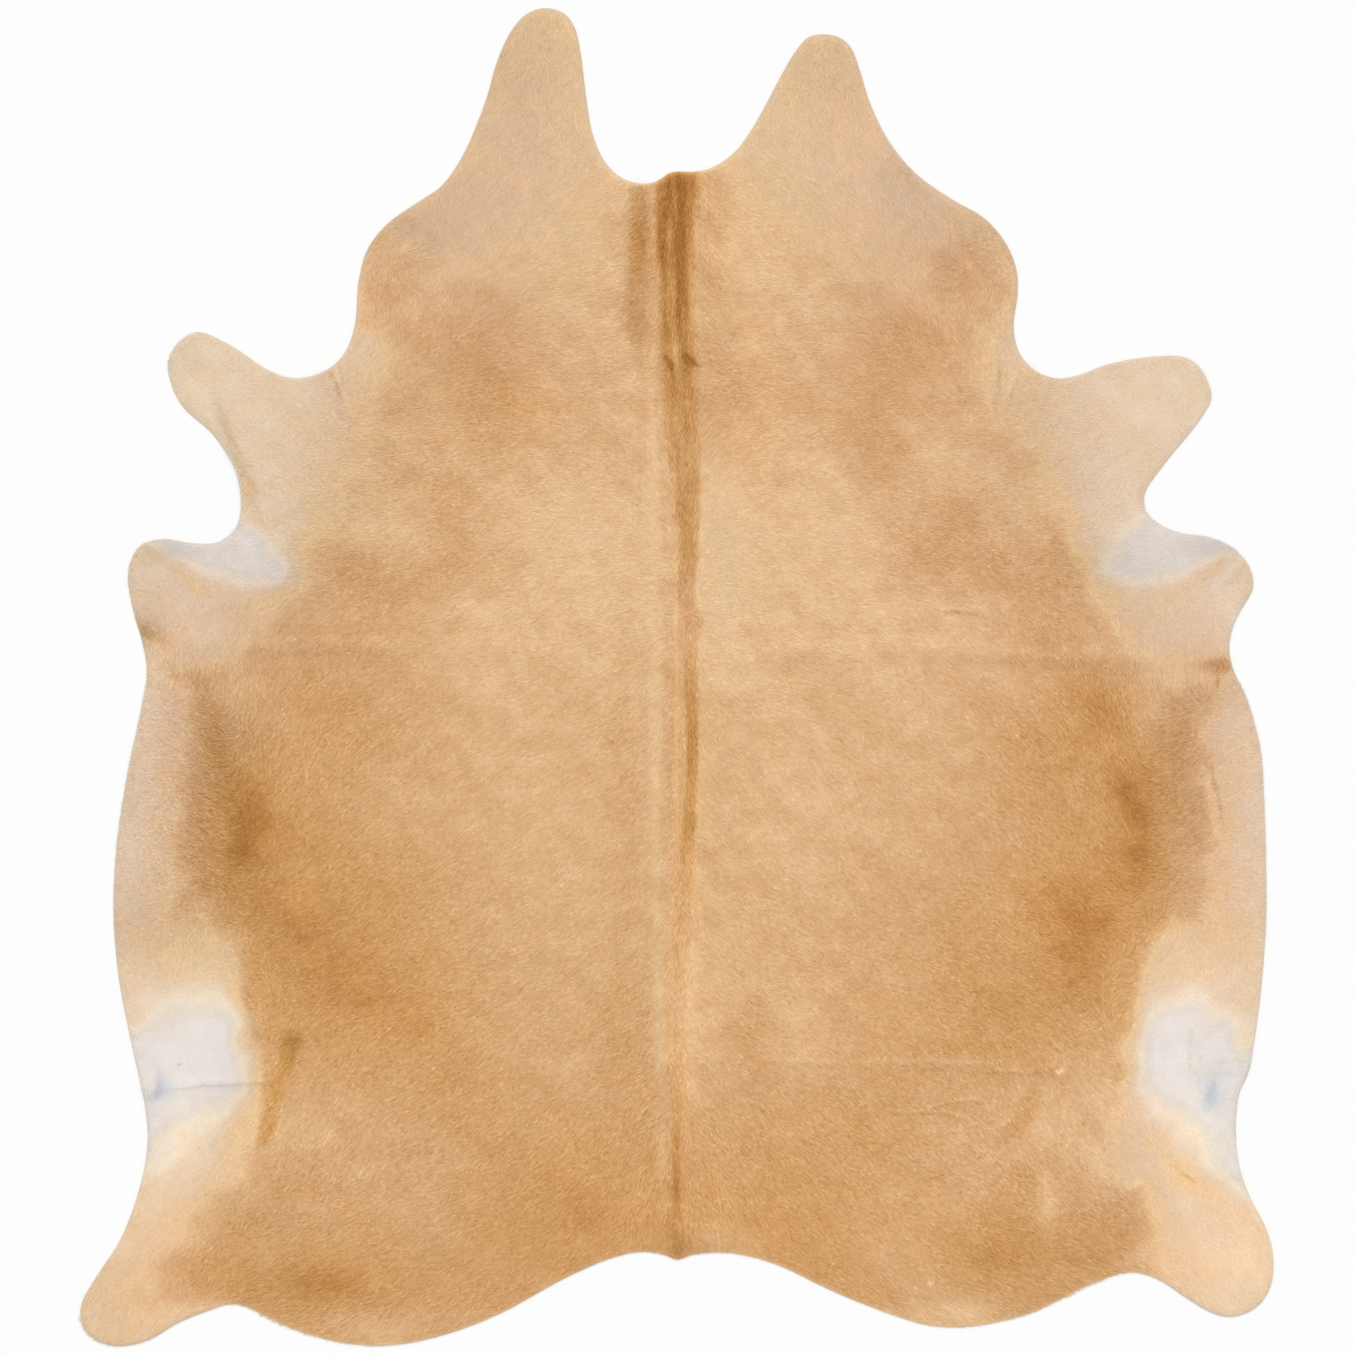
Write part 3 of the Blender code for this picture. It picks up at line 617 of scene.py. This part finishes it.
# Lighter and darker hair of the same tone, in parts of the usual light.
USUAL_LIGHT = 220
LIGHTS = {
    "neck": ((-270, 1050, 110, 160, -11), (250, 1050, 90, 100, -10), (-430, 790, 140, 110, -13),
        (-340, 650, 130, 60, -6), (470, 760, 150, 120, -14), (320, 650, 60, 70, -4), (-490, 600, 40, 90, -3),
        (490, 712, 30, 30, 5), (385, 868, 45, 45, -9)),
    "shoulders": ((-350, 530, 140, 60, -4), (550, 620, 40, 60, -4)),
    "beside the stripe": ((80, 750, 60, 90, 6), (-80, 495, 40, 65, 3)),
    "withers": ((140, 480, 60, 170, 6),),
    "elbows": ((-530, 370, 80, 170, -7), (-590, 285, 50, 50, -4), (590, 380, 100, 170, -7)),
    "front legs": ((-790, 440, 50, 60, -5), (-856, 548, 50, 26, -5)),
    "flank flaps": ((-720, 80, 130, 90, -9), (-900, 170, 60, 45, -9), (800, 60, 120, 130, -7), (950, 180, 60, 40, -5),
        (-916, 90, 36, 30, -19), (905, 36, 55, 22, -4), (925, -30, 80, 34, -6), (-805, 79, 36, 24, 6)),
    "leg pits": ((-640, 180, 60, 60, -7), (735, 190, 90, 50, -8), (-876, 216, 55, 18, -14), (920, 224, 55, 18, -14)),
    "belly": ((-820, -170, 75, 230, -16), (-930, -430, 80, 75, -13), (890, -200, 70, 200, -10),
        (900, -420, 60, 60, -3), (-940, -215, 28, 60, -5), (-915, -320, 60, 50, -4), (-939, -209, 24, 40, -4)),
    "flanks": ((-645, -370, 35, 40, 7), (-715, -250, 35, 60, 6), (795, -280, 45, 80, 5), (690, -400, 110, 100, 8),
        (-790, -240, 40, 60, 6), (-748, -108, 55, 55, -9)),
    "ribs": ((710, -80, 60, 70, 4), (-240, 470, 50, 60, 6)),
    "groins": ((-790, -570, 60, 60, 3), (-850, -800, 70, 70, 8), (850, -670, 40, 40, 6), (890, -800, 80, 80, 10),
        (880, -530, 60, 50, 6), (-862, -668, 50, 30, 4), (-900, -768, 30, 34, -5), (805, -735, 32, 32, 4),
        (942, -774, 26, 40, -4), (836, -591, 30, 28, 4), (-822, -438, 62, 30, -9)),
    "hind legs": ((-900, -900, 80, 50, 5, 45), (-930, -1040, 80, 90, -5), (900, -910, 70, 30, 4),
        (970, -1000, 110, 90, 11), (-949, -984, 32, 34, 5)),
    "hocks": ((-750, -930, 120, 80, -5), (750, -930, 90, 80, -4)),
    "rump": ((100, -930, 420, 90, 5), (-580, -1037, 80, 30, 5), (-420, -965, 70, 80, -4)),
    "loin": ((-540, -520, 130, 110, 3), (-450, -590, 90, 50, 4), (350, -560, 200, 90, 3)),
    "croup and tail": ((14, -978, 70, 24, -11), (270, -785, 150, 50, 3), (-180, -825, 50, 60, 4)),
    "thighs": ((745, -815, 44, 44, -4),),
}
# How strong the scratches' painted highlight and painted shade are, in parts of the usual light.
SCRATCH_PAINTED_LIGHT = 11
STRAND_TONE, STRAND_LIGHT = 2.0, 3
# At the cut edge: how much paler the thin hair is, and how much painted shade darkens it there.
THIN_TONE, THIN_PAINTED_SHADE = 0.2, 10

# Hair a little rosier, or below nought greener, than usual for its tone, in parts of a full colour.
FULL = 255
ROSY = {
    "neck": ((-250, 960, 110, 170, 2.5), (330, 960, 120, 170, 2.5), (-440, 760, 150, 130, 3.5),
        (450, 740, 160, 130, 4), (-320, 620, 160, 90, 2), (330, 600, 140, 100, 1.5)),
    "shoulders": ((-560, 440, 80, 110, 1.5), (560, 440, 120, 120, 1.5)),
    "front legs": ((760, 400, 120, 120, 1.5),),
    "flank flaps": ((-790, 110, 160, 110, 3), (900, 60, 150, 170, 3)),
    "ribs": ((480, 170, 240, 220, 1.5),),
    "belly": ((-930, -230, 80, 300, 2.8), (950, -280, 80, 260, 3), (-858, -140, 40, 210, 2.5)),
    "groins": ((790, -770, 90, 70, 2.5), (930, -780, 70, 80, -1.5)),
    "hind legs": ((-930, -1010, 100, 110, 2.5), (860, -980, 110, 110, 2)),
    "loin": ((-400, -420, 380, 260, -1),),
    "beside the spine": ((-90, -400, 110, 330, -1),),
    "stripe": ((10, 300, 40, 500, -1), (25, -170, 14, 150, -3), (32, 95, 18, 22, 3), (8, 800, 14, 90, 2)),
    "hip mark": ((-690, -715, 90, 26, -3, 72),),
}


def coat_clouds(points):
    """Small unevenness of the light, in three sizes of patches."""
    return 0.9 * wander(points, 95, 15) + 1.0 * wander(points, 45, 16) + 0.9 * wander(points, 22, 17)


def coat_mottle(points):
    """Small unevenness of the tone, in four sizes of patches."""
    patches = 0.9 * wander(points, 150, 11) + 1.1 * wander(points, 75, 12) + 1.0 * wander(points, 36, 13)
    return patches + 0.8 * wander(points, 18, 14)


class Wire:
    """A socket of a look's node tree that takes part in sums as a number does."""

    def __init__(self, tree, socket):
        self.tree, self.socket = tree, socket

    def node(self, kind, settings=None, **inputs):
        """Any node: its settings first, then its inputs, by name or by number as in_0."""
        made = self.tree.nodes.new(kind)
        for key, value in (settings or {}).items():
            if key == "stops":
                ramp = made.color_ramp
                while len(ramp.elements) < len(value):
                    ramp.elements.new(0.5)
                for stop, (place, colour) in zip(ramp.elements, value):
                    stop.position = place
                    stop.color = (*colour, 1)
            else:
                setattr(made, key, value)
        for key, value in inputs.items():
            name = int(key[3:]) if key.startswith("in_") else key.replace("_", " ")
            if isinstance(value, Wire):
                self.tree.links.new(value.socket, made.inputs[name])
            else:
                made.inputs[name].default_value = value
        return Made(self.tree, made)

    def sum_of(self, operation, first, second):
        """A Math node on two wires or numbers."""
        return self.node("ShaderNodeMath", {"operation": operation}, in_0=first, in_1=second).out(0)

    def __add__(self, other):
        return self.sum_of("ADD", self, other)

    def __mul__(self, other):
        return self.sum_of("MULTIPLY", self, other)

    __radd__ = __add__


class Made(Wire):
    """A node just made, whose outputs are wires."""

    def __init__(self, tree, node):
        super().__init__(tree, None)
        self.made = node

    def out(self, name):
        """One of the node's outputs, by name or number."""
        return Wire(self.tree, self.made.outputs[name])


def look(name):
    """A new look: its start for other nodes, its surface shader and its Object coordinates."""
    material = bpy.data.materials.new(name)
    material.use_nodes = True
    tree = material.node_tree
    tree.nodes.clear()
    start = Wire(tree, None)
    shader = start.node("ShaderNodeBsdfPrincipled")
    start.node("ShaderNodeOutputMaterial", Surface=shader.out(0))
    return material, start, shader.made, start.node("ShaderNodeTexCoord").out("Object")


def feed(shader, **inputs):
    """Sets or links the surface shader's own inputs."""
    for key, value in inputs.items():
        socket = shader.inputs[key.replace("_", " ")]
        if isinstance(value, Wire):
            value.tree.links.new(value.socket, socket)
        else:
            socket.default_value = value


def cloud(start, where, scale, detail=2.0, rough=0.5):
    """Soft noise from about 0 to 1, its patches about one over scale metres wide."""
    return start.node("ShaderNodeTexNoise", Vector=where, Scale=scale, Detail=detail, Roughness=rough).out("Fac")


def blend(start, share, first, second):
    """Two colours mixed."""
    return start.node("ShaderNodeMix", {"data_type": "RGBA"}, in_0=share, in_6=first, in_7=second).out(2)


def plain(red, green, blue):
    """A colour as seen on screen, from 0 to 255, as a socket takes it: the usual screen curve undone."""
    seen = np.array([red, green, blue]) / FULL
    return (*np.where(seen <= 0.04045, seen / 12.92, ((seen + 0.055) / 1.055) ** 2.4), 1)


# Colours of the hair by its tone, as seen, from 0 to 1.
HAIR_STOPS = (
    (0, (0.806, 0.816, 0.838)),
    (4, (0.861, 0.845, 0.838)),
    (8, (0.899, 0.872, 0.845)),
    (12, (0.886, 0.846, 0.801)),
    (18, (0.925, 0.866, 0.780)),
    (25, (0.903, 0.813, 0.698)),
    (32, (0.915, 0.798, 0.645)),
    (36, (0.935, 0.807, 0.629)),
    (40, (0.906, 0.755, 0.567)),
    (44, (0.881, 0.711, 0.511)),
    (48, (0.864, 0.679, 0.461)),
    (52, (0.838, 0.640, 0.407)),
    (55, (0.806, 0.600, 0.357)),
    (58, (0.758, 0.543, 0.298)),
    (64, (0.688, 0.468, 0.217)),
)
# How far each lock's own shade moves red, green and blue.
SHADE_SHARE = (0.75, 1.0, 1.1)


def coat_look():
    """Short tan hair: a ramp over the tone of the coat, made lighter or darker and rosier by place, with each lock's
    own shade added in the tones as seen, which a gamma of 2.2 then turns into the colour of the surface."""
    material, start, shader, where = look("tan_hair")
    tone, light, rosy, shade = (
        start.node("ShaderNodeAttribute", {"attribute_name": name}).out("Fac") for name in COAT_NUMBERS)
    stops = [(place / DARKEST, colour) for place, colour in HAIR_STOPS]
    hair = start.node("ShaderNodeValToRGB", {"stops": stops}, Fac=tone).out("Color")
    hair = start.node("ShaderNodeVectorMath", {"operation": "SCALE"}, in_0=hair, Scale=light).out(0)
    for change, share in ((rosy, (0, -1, 0)), (shade, SHADE_SHARE)):
        hair = start.node("ShaderNodeVectorMath", {"operation": "MULTIPLY_ADD"}, in_0=change, in_1=share, in_2=hair)
        hair = hair.out(0)
    hair = start.node("ShaderNodeGamma", Color=hair, Gamma=2.2).out(0)
    feed(shader, Base_Color=hair, Roughness=0.55 + cloud(start, where, 60.0) * 0.2)
    feed(shader, Specular_IOR_Level=0.28, Sheen_Weight=0.12, Sheen_Roughness=0.45)
    return material


def edge_look():
    """The raw cut edge of the leather: pale chrome-tanned fibre, slightly uneven."""
    material, start, shader, where = look("cut_leather")
    fibre = cloud(start, where, 420.0, 3.0)
    feed(shader, Base_Color=blend(start, fibre, plain(196, 172, 140), plain(222, 203, 175)))
    feed(shader, Roughness=0.8, Specular_IOR_Level=0.3)
    return material


NAP_HEIGHT = 0.6 * MM


def suede_look():
    """The flesh side: buffed suede in pale cream, cloudy, with a fine nap and faint branching vein marks."""
    material, start, shader, where = look("suede")
    clouds = cloud(start, where, 5.0, 4.0, 0.6)
    nap = cloud(start, where, 520.0, 4.0, 0.7)
    veins = start.node("ShaderNodeTexVoronoi", {"feature": "DISTANCE_TO_EDGE"}, Vector=start.node(
        "ShaderNodeVectorMath", {"operation": "ADD"}, in_0=where,
        in_1=start.node("ShaderNodeTexNoise", Vector=where, Scale=7.0).out("Color")).out(0), Scale=6.5)
    line = start.node("ShaderNodeMapRange", Value=veins.out("Distance"), From_Min=0.0, From_Max=0.05,
                      To_Min=1.0, To_Max=0.0).out("Result")
    colour = blend(start, clouds, plain(206, 190, 164), plain(230, 220, 202))
    colour = blend(start, line * 0.16, colour, plain(178, 156, 128))
    colour = blend(start, nap * 0.3, colour, plain(238, 230, 216))
    raised = start.node("ShaderNodeBump", Strength=0.35, Distance=NAP_HEIGHT, Height=nap).out("Normal")
    feed(shader, Base_Color=colour, Roughness=0.82 + nap * 0.12, Normal=raised)
    feed(shader, Specular_IOR_Level=0.2, Sheen_Weight=0.25, Sheen_Roughness=0.5)
    return material


def net_within():
    """The cut edge and an even net of points inside it, every other row half a step aside, joined in triangles
    that keep the edge's own steps."""
    low, high = EDGE.min(axis=0), EDGE.max(axis=0)
    rise = SKIN_STEP * ROW_RISE
    rows = np.arange(low[1], high[1], rise)
    columns = np.arange(low[0], high[0], SKIN_STEP)
    x, y = np.meshgrid(columns, rows)
    x = x + SKIN_STEP / 2 * (np.arange(len(rows)) % 2)[:, None]
    net = np.stack([x.ravel(), y.ravel()], axis=1)
    net = net[inward(net) > NET_ROOM * SKIN_STEP]
    points = np.vstack([EDGE, net])
    count = len(EDGE)
    steps = [(n, (n + 1) % count) for n in range(count)]
    where, _, faces, origin, *_ = delaunay_2d_cdt([Vector(p) for p in points], steps, [list(range(count))], 1, 1e-6)
    where = np.array([tuple(p) for p in where])
    faces = np.array(faces)
    order = np.full(count, -1)
    for new, olds in enumerate(origin):
        for old in olds:
            if old < count:
                order[old] = new
    return where, faces, order


def skin():
    """The skin as one closed sheet: underside, hair side and a slightly rounded wall round the cut edge. In its
    flat map the hair side and the wall have the left half, and the underside the right half."""
    flat, faces, rim = net_within()
    low = lift(flat)
    high = skin_top(flat)
    a, b, c = (flat[faces[:, n]] for n in range(3))
    turned = (b[:, 0] - a[:, 0]) * (c[:, 1] - a[:, 1]) - (b[:, 1] - a[:, 1]) * (c[:, 0] - a[:, 0]) < 0
    faces[turned] = faces[turned][:, ::-1]
    ahead = np.roll(flat[rim], -1, axis=0) - np.roll(flat[rim], 1, axis=0)
    out = np.stack([ahead[:, 1], -ahead[:, 0]], axis=1) / np.linalg.norm(ahead, axis=1)[:, None]
    middle = np.column_stack([flat[rim] + out * EDGE_BULGE, (low[rim] + high[rim]) / 2])
    count = len(flat)
    places = np.vstack([np.column_stack([flat, low]), np.column_stack([flat, high]), middle])
    belt = 2 * count + np.arange(len(rim))
    walls = []
    for lower, upper in ((rim, belt), (belt, rim + count)):
        next_lower, next_upper = np.roll(lower, -1), np.roll(upper, -1)
        walls += [np.stack([lower, next_lower, next_upper], 1), np.stack([lower, next_upper, upper], 1)]
    walls = np.vstack(walls)
    every = np.vstack([faces + count, walls, faces[:, ::-1]])
    groups = np.repeat([0, 1, 2], [len(faces), len(walls), len(faces)])
    piece = shape("hide_skin", places, every, [tan_hair, edge_look(), suede_look()], groups, groups != 1)
    points = places[:, :2]
    tone, light, rosy = coat_colour(points)
    write(piece, (tone + coat_mottle(points)) / DARKEST, light, rosy, np.full(len(points), SKIN_PAINTED_SHADE))
    share = (points - EDGE.min(axis=0)) / (EDGE.max(axis=0) - EDGE.min(axis=0))
    share[:, 0] = share[:, 0] * 0.48 + np.where(np.arange(len(points)) < count, 0.51, 0.01)
    spread(piece, share)
    return piece


tan_hair = coat_look()
hide_skin = skin()
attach(hide_skin, "root")
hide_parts("hide")

# The coat. Short hair lying flat in fine locks about 1.5 mm wide, rooted in the skin and combed
# from the backbone outwards and towards the tail. It is laid in five bands from neck to rump.
LOCK_LENGTH = 8 * MM
LOCK_WIDTH = 1.6 * MM
LOCK_ROOM = 4.05e-6
ROOT_SINK = 0.3 * MM
ROLL = 0.25 * MM
OVERHANG = 3.5 * MM
SHOWS = 0.6
LENGTHS, WIDTHS, DEPTH_LENGTHS = (0.65, 1.3), (0.7, 1.3), (0.55, 1.1)
WAVE_SIZE, WAVE_TURN, STRAY_TURN = 46, 0.14, 0.2
SHADE_SPREAD = 0.038
# Each lock's shade at its corners, left root, tip and right root: painted shade at the roots, under the locks lying
# over them, and the tip a little lighter.
CORNER_PAINTED_SHADE = (-0.04, 0.02, -0.04)
FRINGE_LENGTH = 0.6
ROOT_FROM_EDGE = 0.9 * MM
SHORTEST = 3 * MM
TIP_ROOM = 0.4 * MM
TIP_RISE, TIP_STRAY, TIP_DROP = 0.4, 0.5, 0.45

# What the tone tells of the hair: how sleek it lies, how uneven its locks are and how much of the
# mottle it shows. Each has its tones first, then what holds at each of them.
SLEEK = (8, 24, 39), (0.35, 0.6, 1.0)
UNEVEN = (8, 24, 33, 37, 41, 47, 55), (0.25, 0.5, 0.65, 0.8, 1.1, 1.6, 1.5)
MOTTLED = (8, 24, 39, 50), (0.4, 0.7, 1.0, 0.6)

# Which way the hair points on the right half: rows across the hide, each with its own y, then x
# and the direction in degrees from straight right, anticlockwise. The left half mirrors it.
HEADINGS = {
    "neck flaps": (1000, ((200, -100), (290, -67))),
    "neck flaps, foot": (880, ((120, -40), (200, -58), (290, -65), (350, -66))),
    "neck": (790, ((45, -63), (110, -10), (200, -31), (280, -58), (365, -66), (450, -95))),
    "neck foot": (705, ((45, -58), (110, -14), (200, -13), (280, -41), (365, -67), (450, -95), (530, -63))),
    "withers, upper": (625, ((45, -58), (115, 0), (200, -5), (280, -21), (365, -45), (450, -66), (530, -93))),
    "withers": (540, ((45, -38), (115, 5), (200, 8), (280, -8), (365, -20), (450, -16), (530, -77))),
    "shoulder blades": (420, ((45, 55), (115, 14), (200, 14), (280, 0), (365, -8), (450, -8), (530, 0), (620, 6),
        (700, 12), (790, 35), (870, 35))),
    "behind the shoulders": (300, ((50, 50), (115, 8), (200, 0), (280, -3), (365, -17), (450, -13), (530, -6),
        (620, 5), (700, 8), (760, 40))),
    "leg pits": (200, ((50, 20), (115, -14), (200, -24), (280, -19), (365, -14), (450, -21), (530, -18), (612, -10),
        (694, -2), (777, -25), (850, -15), (940, 65))),
    "waist": (110, ((60, -15), (115, -15), (200, -22), (310, -19), (450, -28), (540, -34), (612, -37), (694, -42),
        (777, -60), (860, -80), (940, -80))),
    "below the waist": (10, ((60, -42), (115, -22), (280, -22), (450, -30), (540, -30), (612, -40), (694, -50),
        (777, -90), (860, -100))),
    "upper flanks": (-90, ((60, -46), (115, -34), (280, -30), (450, -30), (540, -36), (612, -43), (694, -50),
        (770, -88), (850, 44), (935, 12))),
    "flanks": (-240, ((60, -46), (115, -40), (280, -38), (450, -37), (612, -38), (694, -46), (770, -66), (850, 45),
        (935, 10))),
    "low flanks": (-390, ((60, -44), (115, -37), (280, -32), (450, -29), (612, -35), (694, -32), (770, -24),
        (935, -33))),
    "loin": (-530, ((60, -42), (115, -30), (280, -24), (450, -29), (612, -29), (694, -18), (780, -170), (860, -133),
        (942, -99))),
    "groins": (-660, ((60, -48), (115, -26), (280, -35), (450, -36), (612, -46), (694, -45), (777, -42), (870, -72),
        (942, -95))),
    "thighs": (-800, ((60, -58), (115, -37), (280, -36), (450, -32), (612, -50), (694, -50), (777, -52), (870, -56))),
    "rump": (-930, ((60, -78), (115, -38), (280, -34), (450, -30), (612, -26), (694, -27), (777, -34), (860, -55),
        (942, -66))),
    "rump edge": (-1040, ((280, -33), (450, -33), (612, -26), (694, -22), (777, -25), (860, -43), (942, -55))),
}
HEADING_REACH, NEAR_SPINE = 62, 20
LEFT_SPREAD = 1.06
SPINE_LEAN, WHORL_PULL = 0.05, 2.2
# Along the spine the hair lies straight: y, the spine's own x, how far to each side, and which way,
# 1 towards the neck. It parts on the back and meets in two tufts on the withers.
SPINE = (
    (900, 4, 42, -1), (560, 6, 34, -1), (530, 6, 34, 0), (500, 6, 34, 1), (300, 16, 28, 1), (130, 18, 26, 1),
    (90, 18, 26, -1), (-100, 22, 24, -1), (-300, 14, 22, -1), (-600, 2, 20, -1), (-1000, 0, 16, -1),
)
# Whorls: x, y, reach, and the turn from straight outwards.
WHORLS = {
    "left shoulder": (-472, 734, 60, 50),
    "right shoulder": (505, 708, 60, -50),
    "left flank": (-816, -408, 62, 50),
    "right flank": (852, -410, 62, -50),
}

# Where the coat is coarser than its tone tells.
COARSE = {
    "belly": ((-890, -180, 100, 260, 0.9), (940, -220, 90, 240, 0.2)),
    "thighs": ((620, -800, 160, 110, 0.5), (-640, -820, 160, 110, 0.35)),
    "shoulders": ((-330, 500, 150, 130, -0.3), (370, 480, 150, 150, -0.3)),
    "rump": ((0, -1000, 700, 70, -0.5),),
    "neck": ((-400, 700, 130, 160, -0.15), (420, 700, 130, 160, -0.15)),
}

# Where longer hair hangs ragged over the cut edge.
FRINGE = {
    "rump": ((-680, -1100, 100, 60, 2.0), (700, -1050, 110, 70, 1.8), (-520, -1110, 120, 60, 0.7),
        (480, -1090, 120, 60, 0.7)),
    "hind legs": ((-1040, -1110, 100, 70, 1.2),),
}

chance = np.random.default_rng(51)


def heading(points):
    """Direction of the hair: the named directions round a point, each weighed by how near it is, straight along
    the spine, and over a whorl the way outwards from its middle, turned. It is straight within half the spine's
    reach to each side, and no longer so an eighth past that reach."""
    side = np.where(points[:, 0] < 0, -1.0, 1.0)
    near = np.stack([np.abs(points[:, 0]) * np.where(side < 0, LEFT_SPREAD, 1), points[:, 1]], axis=1)
    way = np.zeros((len(points), 2))
    for y, row in HEADINGS.values():
        for x, turn in row:
            away = ((near - (x * MM, y * MM)) ** 2).sum(axis=1)
            weight = np.exp(-away / (min(HEADING_REACH, NEAR_SPINE + x) * MM) ** 2) + 1e-6 / (away + 0.01)
            way += weight[:, None] * (math.cos(math.radians(turn)), math.sin(math.radians(turn)))
    way[:, 0] *= side
    way /= np.linalg.norm(way, axis=1)[:, None]
    rows = np.array(SPINE[::-1])
    middle, reach, straight = (np.interp(points[:, 1], rows[:, 0] * MM, rows[:, n]) for n in (1, 2, 3))
    spine = np.clip(1.8 - 1.6 * np.abs(points[:, 0] / MM - middle) / reach, 0, 1)
    way *= (1 - spine)[:, None]
    way += np.stack([SPINE_LEAN * spine, straight * spine], axis=1)
    for x, y, reach, turn in WHORLS.values():
        off = points - (x * MM, y * MM)
        size = np.linalg.norm(off, axis=1)[:, None] + 1e-6
        c, s = math.cos(math.radians(turn)), math.sin(math.radians(turn))
        curl = np.stack([off[:, 0] * c - off[:, 1] * s, off[:, 0] * s + off[:, 1] * c], axis=1) / size
        way += curl * WHORL_PULL * np.exp(-(size / (reach * MM)) ** 2)
    return np.arctan2(way[:, 1], way[:, 0])


def lock_roots():
    """One root in each cell of a square net, put anywhere in its cell, where the skin reaches."""
    low, high = EDGE.min(axis=0), EDGE.max(axis=0)
    step = math.sqrt(LOCK_ROOM)
    x, y = np.meshgrid(np.arange(low[0], high[0], step), np.arange(low[1], high[1], step))
    roots = np.stack([x.ravel(), y.ravel()], axis=1)
    roots = roots + chance.uniform(0, step, roots.shape)
    return roots[inward(roots) > ROOT_FROM_EDGE]


def coat(names, cuts):
    """Every lock is one narrow blade, from two sunken root corners to a raised tip. Its length, lean, roll and
    shade are uneven, its tone is that of the place where it shows, and its tip stays within the overhang past the
    cut edge."""
    roots = lock_roots()
    count = len(roots)
    turn = heading(roots) + WAVE_TURN * wander(roots, WAVE_SIZE, 3) + chance.normal(0, STRAY_TURN, count)
    ahead = np.stack([np.cos(turn), np.sin(turn)], axis=1)
    aside = np.stack([-ahead[:, 1], ahead[:, 0]], axis=1)
    depth = coat_depth(roots)
    longer = bells(roots, FRINGE)
    length = LOCK_LENGTH * chance.uniform(*LENGTHS, count) * np.clip(depth / COAT, *DEPTH_LENGTHS)
    length = length * (1 + FRINGE_LENGTH * longer)
    for _ in range(3):
        past = -inward(roots + ahead * length[:, None]) - OVERHANG * (1 + longer)
        length = np.where(past > 0, np.maximum(length - past, SHORTEST), length)
    tips = roots + ahead * length[:, None]
    seen = roots + SHOWS * (tips - roots)
    tone, light, rosy = coat_colour(seen)
    sleek = np.interp(tone, *SLEEK)
    width = LOCK_WIDTH * chance.uniform(*WIDTHS, count)
    ground = skin_top(roots)
    free = np.clip(-inward(tips) / OVERHANG, 0, 1)
    rise = depth * (TIP_RISE + sleek * chance.uniform(0.0, TIP_STRAY, count))
    tip_high = skin_top(tips) * (1 - TIP_DROP * free) + np.minimum(rise, coat_depth(tips) + TIP_ROOM) * (1 - free)
    roll = ROLL * sleek * chance.normal(0, 1, count)
    corners = np.stack([
        np.column_stack([roots - aside * width[:, None] / 2, ground - ROOT_SINK - roll]),
        np.column_stack([tips, tip_high]),
        np.column_stack([roots + aside * width[:, None] / 2, ground - ROOT_SINK + roll]),
    ], axis=1)
    uneven = (np.interp(tone, *UNEVEN) + bells(roots, COARSE))[:, None]
    # Each lock's shade: uneven at random, with painted shade at its roots.
    shade = uneven * (chance.normal(0, SHADE_SPREAD, count)[:, None] + np.array(CORNER_PAINTED_SHADE))
    tone += coat_mottle(seen) * np.interp(tone, *MOTTLED)
    made = []
    for n, name in enumerate(names):
        some = ((roots[:, 1] >= cuts[n + 1] * MM) & (roots[:, 1] < cuts[n] * MM)).nonzero()[0]
        faces = np.arange(3 * len(some)).reshape(-1, 3)
        piece = shape(name, corners[some].reshape(-1, 3), faces, [tan_hair])
        write(piece, *(np.repeat(values[some], 3) for values in (tone / DARKEST, light, rosy)), shade[some].ravel())
        side = math.ceil(math.sqrt(len(some)))
        cell = np.stack([np.arange(len(some)) % side, np.arange(len(some)) // side], axis=1)[:, None, :]
        spread(piece, ((cell + np.array([(0.02, 0.1), (0.5, 0.98), (0.98, 0.1)])) / side).reshape(-1, 2))
        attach(piece, "root")
        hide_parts("hide")
        made.append(piece)
    return made


coat_bands = coat(
    ("coat_neck", "coat_shoulders", "coat_barrel", "coat_loin", "coat_rump"),
    (1200, 395, 0, -360, -715, -1200),
)

# The floor and the light. A plain near-white floor under a wide soft light
# from above the neck, with an even pale fill all round.
FLOOR_HALF = 40.0
FLOOR_TOP = -0.2 * MM
KEY_POWER = 1.55
KEY_WIDTH = math.radians(50)
KEY_FROM = (0.0, 0.78, 1.0)
FILL = 0.745


def floor_look():
    """Smooth matt near-white, faintly cloudy."""
    material, start, shader, where = look("pale_floor")
    mottle = cloud(start, where, 3.0)
    feed(shader, Base_Color=blend(start, mottle, (0.86, 0.86, 0.86, 1), (0.88, 0.88, 0.88, 1)))
    feed(shader, Roughness=0.9, Specular_IOR_Level=0.1)
    return material


corners = [(x * FLOOR_HALF, y * FLOOR_HALF, FLOOR_TOP) for x, y in ((-1, -1), (1, -1), (1, 1), (-1, 1))]
floor = shape("floor", corners, np.array([[0, 1, 2, 3]]), [floor_look()])

lamp = bpy.data.objects.new("key_light", bpy.data.lights.new("key_light", "SUN"))
lamp.data.angle = KEY_WIDTH
lamp.data.energy = KEY_POWER
lamp.rotation_euler = Vector(KEY_FROM).to_track_quat("Z", "Y").to_euler()
bpy.context.collection.objects.link(lamp)

world = bpy.data.worlds.new("pale_room")
world.use_nodes = True
world.node_tree.nodes["Background"].inputs["Color"].default_value = (1, 1, 1, 1)
world.node_tree.nodes["Background"].inputs["Strength"].default_value = FILL
bpy.context.scene.world = world
bpy.context.scene.view_settings.view_transform = "Standard"
